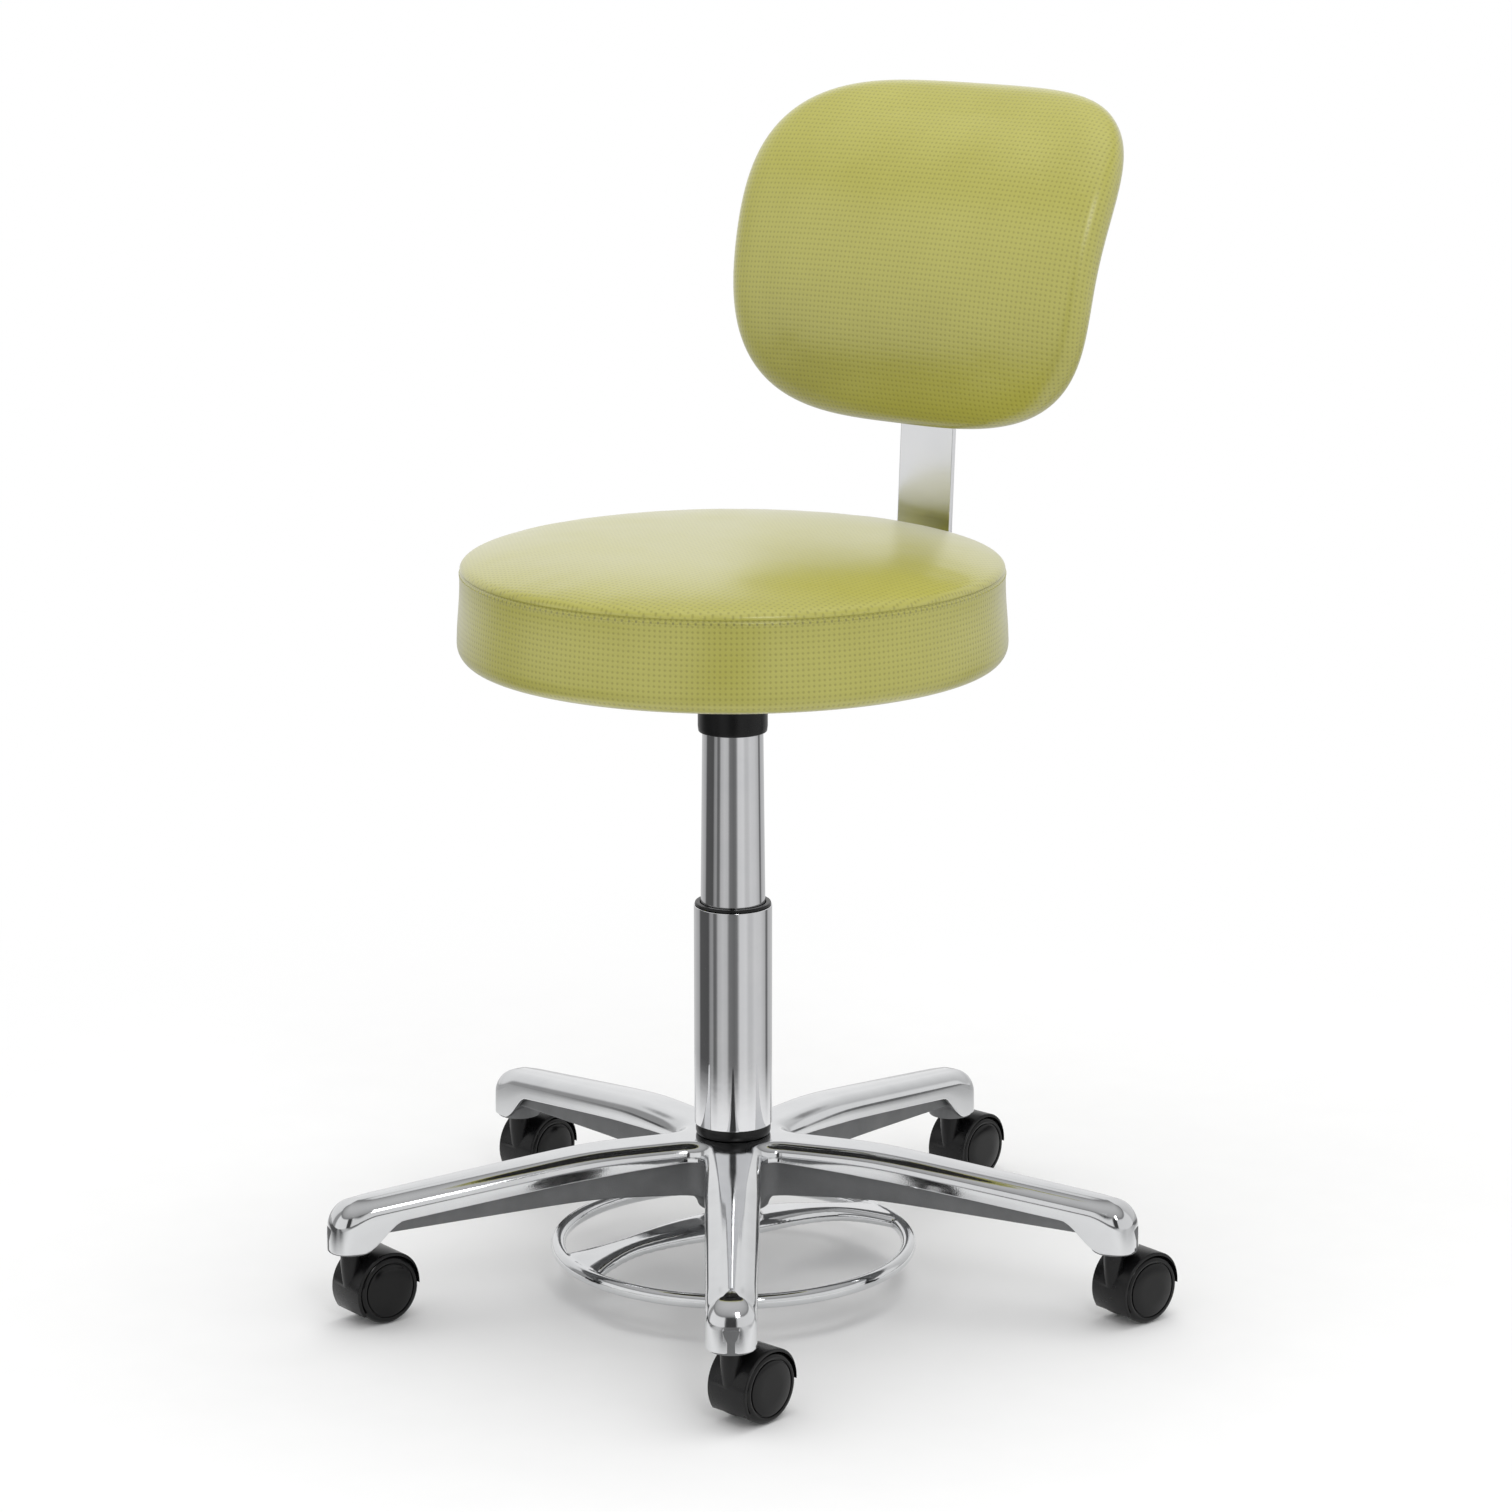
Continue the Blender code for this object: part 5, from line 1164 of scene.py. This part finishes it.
def strap_shape(frame_of, length):
    """A hat section drawn along the bar, with a bore for the knob's stud."""
    inner = BAR_WIDTH / 2 + STRAP_PLAY
    outer = inner + STRAP_WALL
    depth = BAR_THICKNESS + STRAP_PLAY
    right = [
        (inner, 0.0), (outer + STRAP_FLANGE, 0.0), (outer + STRAP_FLANGE, STRAP_WALL), (outer, STRAP_WALL),
        (outer, depth + STRAP_WALL),
    ]
    left = [(-across, away) for across, away in reversed(right)]
    bm = bmesh.new()
    outline = right + left + [(-inner, depth), (inner, depth)]
    face = bm.faces.new([bm.verts.new((across, away, -length / 2)) for across, away in outline])
    grown = bmesh.ops.extrude_face_region(bm, geom=[face])["geom"]
    bmesh.ops.translate(bm, vec=(0, 0, length), verts=[g for g in grown if isinstance(g, bmesh.types.BMVert)])
    recalculated(bm)
    rounded(bm, 0.0005, 2)
    bore = bar(STUD_RADIUS + FIT_GAP, BAR_THICKNESS / 2, depth + STRAP_WALL + 0.001, 32)
    return moved(combined(bm, ("DIFFERENCE", moved(bore, outwards))), frame_of)


def knob_shape(frame_of):
    """A turned knob whose rim is drawn in between its lobes."""
    seat = BAR_THICKNESS + STRAP_PLAY + STRAP_WALL + FIT_GAP
    top = seat + KNOB_HEIGHT
    tip = BAR_THICKNESS + STUD_RELEASE
    profile = [
        (0.0, tip), (STUD_RADIUS - 0.0005, tip), (STUD_RADIUS, tip + 0.0005), (STUD_RADIUS, seat),
        (KNOB_RADIUS / 2, seat), (KNOB_RADIUS / 2, seat + KNOB_HEIGHT / 4),
        (KNOB_RADIUS - 0.0008, seat + KNOB_HEIGHT / 3 - 0.0006), (KNOB_RADIUS, seat + KNOB_HEIGHT / 3 + 0.0004),
        (KNOB_RADIUS, top - 0.0030), (KNOB_RADIUS - 0.0005, top - 0.0014), (KNOB_RADIUS - 0.0017, top - 0.0004),
        (KNOB_RADIUS - 0.0035, top), (0.0060, top), (0.0054, top - 0.0006), (0.0, top - 0.0006),
    ]
    bm = lathe(profile, 96, closed=False)
    for vert in bm.verts:
        radius = hypot(vert.co.x, vert.co.y)
        if radius > KNOB_RADIUS * 0.7:
            turn = np.arctan2(vert.co.y, vert.co.x)
            drawn_in = 1 - KNOB_LOBE_DEPTH * (1 - cos(KNOB_LOBES * turn)) / 2 / KNOB_RADIUS
            vert.co.x *= drawn_in
            vert.co.y *= drawn_in
    return moved(bm, frame_of @ outwards)


seat_strap = strap_shape(seat_frame, length=0.0750)
back_strap = strap_shape(back_frame, length=0.0360)
show("seat_strap", seat_strap, [zinc_steel], "seat", ["bar_bracket"])
show("back_strap", back_strap, [zinc_steel], "backrest", ["back_bracket"])
show("seat_clamp_knob", knob_shape(seat_frame), [black_nylon], "depth_knob", ["depth_knob"])
show("back_clamp_knob", knob_shape(back_frame), [black_nylon], "height_knob", ["height_knob"])

# Backrest board: a moulded black nylon panel set into a pocket in the cushion's rear, to which the cover is
# stapled. Two zinc-plated cap screws hold the upper strap to it.

BOARD_WIDTH = 0.1500
BOARD_LOW, BOARD_HIGH = -0.0515, 0.0825
BOARD_THICKNESS = 0.0090
BOARD_CORNER = 0.0180


def slab(width, low, high, front, rear, corner, rounding):
    """A board in the backrest's frame: width across, low to high along the bar, front to rear in depth."""
    bm = plate_shape(width, high - low, corner, front, rear, rounding)
    return moved(bm, back_frame @ Matrix.Translation((0, 0, (low + high) / 2)) @ outwards)


board = slab(BOARD_WIDTH, BOARD_LOW, BOARD_HIGH, -FIT_GAP - BOARD_THICKNESS, -FIT_GAP, BOARD_CORNER, 0.0012)
show("back_panel", board, [black_nylon], "backrest", ["back_board"])
for number, side in enumerate((-1, 1)):
    aside = Matrix.Translation((side * STRAP_SCREW_ASIDE, 0.0, 0.0))
    place = back_frame @ aside @ Matrix.Rotation(pi / 2, 4, "X")
    screw = screw_shape(
        shank=0.0030, tip=BOARD_THICKNESS - 0.0006, head_top=-0.0028, head_radius=0.0058, head_foot=-0.0063,
        socket=0.0026,
    )
    show(
        "strap_screw_%d" % (number + 1), moved(screw, place), [zinc_steel], "backrest",
        ["bracket_bolt_%d" % (number + 1)],
    )

# Backrest cushion: one moulded foam pad, wrapped to the sitter's back, with the same vinyl stretched over it
# from the front and drawn in round the board's pocket at the rear, so that its front has no seam.

BACK_WIDTH = 0.3320
BACK_HEIGHT = 0.2462
BACK_THICKNESS = 0.0744
BACK_SWELL = 0.0045
BACK_TAPER = 0.0413
BACK_TOP_SQUARENESS = 4.18
BACK_BOTTOM_SQUARENESS = 3.32
BACK_FULLNESS = 2.45
BACK_BEND = 4.62
BACK_BEND_GROWTH = 44.0
BACK_WRAP = 0.641
BACK_WRAP_GROWTH = 5.73
BACK_RISE = 0.0016
BACK_INSET = 0.0004
FACE_SHARE = 0.72
BACK_CUTS = 39
LENGTH_STEPS = 16
back_middle = back_frame @ Vector((0.0, BACK_INSET - BACK_THICKNESS / 2, BACK_RISE))


def outline_share(across, up):
    """How far out a point of the unit outline lies: 0 at the middle, 1 on the cushion's outline."""
    squareness = BACK_TOP_SQUARENESS if up > 0 else BACK_BOTTOM_SQUARENESS
    return (abs(across) ** squareness + abs(up) ** squareness) ** (1 / squareness)


def back_point(across, up, side, swell=0.0):
    """A point of the cushion: side is -1 in front and 1 behind; the uncovered front lies in by the swell."""
    edge = min(outline_share(across, up), 1.0)
    half = side * BACK_THICKNESS / 2 * (1 - edge**BACK_FULLNESS) ** (1 / BACK_FULLNESS)
    if side < 0:
        half += swell * smooth_step((1 - edge) / 0.3)
    x = across * BACK_WIDTH / 2 * (1 + BACK_TAPER * up)
    z = up * BACK_HEIGHT / 2
    lean = atan(tan(BACK_TILT) + BACK_BEND * z + BACK_BEND_GROWTH * z * z / 2)
    y = tan(BACK_TILT) * z + BACK_BEND * z * z / 2 + BACK_BEND_GROWTH * z**3 / 6
    y -= (BACK_WRAP + BACK_WRAP_GROWTH * z) * x * x / 2
    return Vector((x, back_middle.y + y + half * cos(lean), back_middle.z + z - half * sin(lean)))


def run_length(start, end, side, swell):
    """Length over the cover between two points of the unit outline, counted closer where it turns over."""
    shares = [sin(pi / 2 * step / LENGTH_STEPS) for step in range(LENGTH_STEPS + 1)]
    path = [back_point(*start.lerp(end, share), side, swell) for share in shares]
    return sum((b - a).length for a, b in zip(path, path[1:]))


def back_form(cuts, swell):
    """A subdivided cube, its front, sides and rear laid over the cushion; gives each point's flat place too."""
    bm = bmesh.new()
    bmesh.ops.create_cube(bm, size=2.0)
    bmesh.ops.subdivide_edges(bm, edges=bm.edges[:], cuts=cuts, use_grid_fill=True)
    flat = {}
    for vert in bm.verts:
        x, y, z = vert.co
        reach = max(abs(x), abs(z))
        if reach > 0.9999:
            turn = 1 + (1 - FACE_SHARE) * y
        else:
            turn = FACE_SHARE * reach if y < 0 else 2 - FACE_SHARE * reach
        size = outline_share(x, z) or 1.0
        place = Vector((x, z)) * sin(pi / 2 * turn) / size
        side = -1 if turn < 1 else 1
        vert.co = back_point(*place, side, swell)
        across = run_length(Vector((0.0, place.y)), place, side, swell)
        along = run_length(Vector((place.x, 0.0)), place, side, swell)
        flat[vert] = Vector((across if x > 0 else -across, along if z > 0 else -along))
    bmesh.ops.recalc_face_normals(bm, faces=bm.faces)
    return bm, flat


def back_held(point):
    """The cover is stapled to the board behind."""
    local = back_frame.inverted() @ point
    over_board = abs(local.x) < BOARD_WIDTH / 2 and BOARD_LOW < local.z < BOARD_HIGH
    return 1.0 if over_board and local.y > -0.012 else 0.0


def back_free(point):
    """Only the front swells, and not at the cushion's outline."""
    local = back_frame.inverted() @ point
    up = (point.z - back_middle.z) / (BACK_HEIGHT / 2)
    across = point.x / (BACK_WIDTH / 2 * (1 + BACK_TAPER * up))
    depth = BACK_WRAP * point.x**2 / 2 - BACK_INSET + BACK_THICKNESS / 2
    return smooth_step((1 - outline_share(across, up)) / 0.3) if local.y + depth < 0 else 0.0


back, flat = back_form(BACK_CUTS, BACK_SWELL)
stuffed = back_form(24, BACK_SWELL)[0]
shift_at = swelling(stuffed, voxel=0.0050, held=back_held, cap=BACK_SWELL)
swell(back, shift_at, back_free, passes=60)
measured(back, lambda face: [flat[v] for v in face.verts])
bmesh.ops.subdivide_edges(back, edges=back.edges[:], cuts=1, use_grid_fill=True, smooth=1.0)
pocket = slab(
    BOARD_WIDTH + 2 * FIT_GAP, BOARD_LOW - FIT_GAP, BOARD_HIGH + FIT_GAP, -0.0096, BACK_THICKNESS,
    BOARD_CORNER, 0.0,
)
groove = slab(BAR_WIDTH + 0.0030, -BACK_HEIGHT, 0.0, -0.0015, BACK_THICKNESS, 0.0015, 0.0)
back = combined(back, ("DIFFERENCE", pocket), ("DIFFERENCE", groove))
cushion = show("back_upholstery", back, [vinyl], "backrest", ["back_cushion"], crease=50)

# Stage: a white paper floor that keeps the stool's soft shadow and runs out into plain white, under a large
# soft box overhead and a small one high in front. Only the polished metal sees the studio's walls, which are
# white, with a grey gap at one side and a dark room by the camera.

CAMERA_AZIMUTH = 38.3
FLOOR_RADIUS = 3.0
view_from = heading(CAMERA_AZIMUTH)
view_right = Vector((cos(radians(CAMERA_AZIMUTH)), sin(radians(CAMERA_AZIMUTH)), 0.0))


def studio_round(owner, direction, levels):
    """Brightness by direction round the stool, in degrees to the right of the camera's side."""
    away = add_node(owner, "ShaderNodeVectorMath", {0: direction, 1: view_from}, operation="DOT_PRODUCT")
    aside = add_node(owner, "ShaderNodeVectorMath", {0: direction, 1: view_right}, operation="DOT_PRODUCT")
    turn = add_node(
        owner, "ShaderNodeMath", {0: aside.outputs["Value"], 1: away.outputs["Value"]}, operation="ARCTAN2",
    )
    share = add_node(owner, "ShaderNodeMapRange", {"Value": turn, "From Min": -pi, "From Max": pi})
    ramp = add_node(owner, "ShaderNodeValToRGB", {0: share})
    stops = ramp.color_ramp.elements
    stops[0].color = stops[1].color = (levels[0][1],) * 3 + (1.0,)
    for degrees, level in levels[1:-1]:
        stops.new((degrees + 180) / 360).color = (level,) * 3 + (1.0,)
    return ramp


# Studio floor paper: white and matt with a trace of fibre near the stool; further out it is lit up to plain
# white, and in the metal it glows with strips of light and dark, a painted reflection of a studio round the
# paper
paper = new_material("white_floor_paper")
m = paper
place = add_node(m, "ShaderNodeTexCoord").outputs["Object"]
fibre = add_node(m, "ShaderNodeTexNoise", {"Vector": place, "Scale": 1 / 0.05, "Detail": 3.0})
tint = add_node(m, "ShaderNodeMix", {0: fibre, 6: linear("#F1F1F1"), 7: linear("#F4F4F4")}, data_type="RGBA")
matt = add_node(m, "ShaderNodeBsdfDiffuse", {"Color": tint.outputs[2]})
reach = add_node(m, "ShaderNodeVectorMath", {0: place}, operation="LENGTH")
plain = add_node(
    m, "ShaderNodeMapRange", {"Value": reach.outputs["Value"], "From Min": 0.45, "From Max": 1.25},
    interpolation_type="SMOOTHSTEP",
)
lit_up = add_node(m, "ShaderNodeEmission", {"Color": linear("#FFFFFF"), "Strength": 1.0})
seen = add_node(m, "ShaderNodeMixShader", {0: plain, 1: matt, 2: lit_up})
# Painted reflection: the strips of light and dark that the paper glows with, seen only in the metal
FLOOR_STRIPS = (
    (-180, 0.62), (-150, 0.60), (-118, 0.42), (-110, 0.10), (-76, 0.09), (-70, 0.30), (-62, 0.34), (-57, 0.14),
    (-50, 0.16), (-44, 0.50), (-30, 0.60), (-18, 0.55), (-11, 0.20), (4, 0.16), (12, 0.20), (20, 0.70),
    (38, 0.74), (47, 0.60), (56, 0.60), (66, 0.70), (88, 0.66), (100, 0.56), (108, 0.48), (112, 0.16),
    (119, 0.16), (124, 0.50), (150, 0.58), (180, 0.62),
)
painted_reflection_strips = add_node(m, "ShaderNodeEmission", {"Color": studio_round(m, place, FLOOR_STRIPS), "Strength": 1.0})
outside = add_node(
    m, "ShaderNodeMapRange", {"Value": reach.outputs["Value"], "From Min": 0.40, "From Max": 0.62},
    interpolation_type="SMOOTHSTEP",
)
in_metal = add_node(m, "ShaderNodeMixShader", {0: outside, 1: matt, 2: painted_reflection_strips})
path = add_node(m, "ShaderNodeLightPath")
to_eye = add_node(m, "ShaderNodeMixShader", {0: path.outputs["Is Camera Ray"], 1: matt, 2: seen})
to_metal = add_node(m, "ShaderNodeMixShader", {0: path.outputs["Is Glossy Ray"], 1: to_eye, 2: in_metal})
add_node(m, "ShaderNodeOutputMaterial", {"Surface": to_metal})

floor = bmesh.new()
bmesh.ops.create_circle(floor, cap_ends=True, segments=96, radius=FLOOR_RADIUS)
bmesh.ops.translate(floor, vec=(0, 0, -0.0002), verts=floor.verts)
ground_plane = loose(floor, paper)
ground_plane.name = "studio_floor"

# Studio walls: white to the camera, even to the matt surfaces, and light and dark strips in the metal, with a
# ceiling that grows lighter from the walls to the middle
WALL_STRIPS = (
    (-180, 0.95), (-125, 0.80), (-118, 0.34), (-100, 0.34), (-92, 0.92), (-14, 0.86), (-9, 0.06), (7, 0.05),
    (12, 0.80), (120, 0.85), (126, 0.60), (180, 0.95),
)
CEILING = ((0.58, 0.16), (0.72, 0.40), (1.0, 0.60))
world = bpy.data.worlds.new("studio")
bpy.context.scene.world = world
world.use_nodes = True
world.node_tree.nodes.clear()
sky = add_node(world, "ShaderNodeTexCoord").outputs["Generated"]
height = add_node(world, "ShaderNodeSeparateXYZ", {0: sky})
ceiling = add_node(
    world, "ShaderNodeMapRange", {"Value": height.outputs["Z"], "From Min": 0.56, "From Max": 0.63},
    interpolation_type="SMOOTHSTEP",
)
overhead = add_node(world, "ShaderNodeValToRGB", {0: height.outputs["Z"]})
overhead.color_ramp.elements.new(0.70)
for stop, (level, shade) in zip(overhead.color_ramp.elements, CEILING):
    stop.position, stop.color = level, (shade, shade, shade, 1.0)
mirrored = add_node(
    world, "ShaderNodeMix",
    {0: ceiling, 6: studio_round(world, sky, WALL_STRIPS), 7: overhead}, data_type="RGBA",
)
path = add_node(world, "ShaderNodeLightPath")
ambient = add_node(world, "ShaderNodeBackground", {"Color": linear("#FFFFFF"), "Strength": 0.82})
in_metal = add_node(world, "ShaderNodeBackground", {"Color": mirrored.outputs[2], "Strength": 1.0})
white = add_node(world, "ShaderNodeBackground", {"Color": linear("#FFFFFF"), "Strength": 1.0})
lit = add_node(world, "ShaderNodeMixShader", {0: path.outputs["Is Glossy Ray"], 1: ambient, 2: in_metal})
shown = add_node(world, "ShaderNodeMixShader", {0: path.outputs["Is Camera Ray"], 1: lit, 2: white})
add_node(world, "ShaderNodeOutputWorld", {"Surface": shown})


def soft_box(name, place, target, width, height, power):
    lamp = bpy.data.lights.new(name, "AREA")
    lamp.shape = "RECTANGLE"
    lamp.size, lamp.size_y = width, height
    lamp.energy = power
    obj = bpy.data.objects.new(name, lamp)
    obj.location = place
    obj.rotation_euler = (Vector(target) - Vector(place)).to_track_quat("-Z", "Y").to_euler()
    bpy.context.scene.collection.objects.link(obj)
    return obj


overhead_box = soft_box(
    "overhead_soft_box", (0.0, 0.2, 2.8), (0.0, 0.0, 0.3), width=2.2, height=2.2, power=30.0,
)
overhead_box.visible_glossy = False
front_place = view_right * 0.6 + view_from * 2.4 + Vector((0, 0, 2.3))
soft_box("front_soft_box", front_place, (0.0, 0.0, 0.75), width=0.5, height=1.0, power=10.0)

# Camera: where the photo was taken, some 3.3 m away and a little above the backrest, with a long lens that
# looks down on the stool by 13 degrees
CAMERA_DISTANCE = 3.3104
CAMERA_HEIGHT = 1.1890
CAMERA_ASIDE = 0.0172
CAMERA_PITCH = radians(13.26)
CAMERA_LENS = 109.185
CAMERA_SENSOR = 36.0
CAMERA_SHIFT = 0.0023
camera = bpy.data.objects.new("camera", bpy.data.cameras.new("camera"))
camera.data.lens = CAMERA_LENS
camera.data.sensor_width = CAMERA_SENSOR
camera.data.shift_y = CAMERA_SHIFT
camera.location = view_from * CAMERA_DISTANCE + view_right * CAMERA_ASIDE + Vector((0, 0, CAMERA_HEIGHT))
camera.rotation_euler = (pi / 2 - CAMERA_PITCH, 0.0, radians(CAMERA_AZIMUTH))
bpy.context.scene.collection.objects.link(camera)
bpy.context.scene.camera = camera
bpy.context.scene.view_settings.view_transform = "Standard"
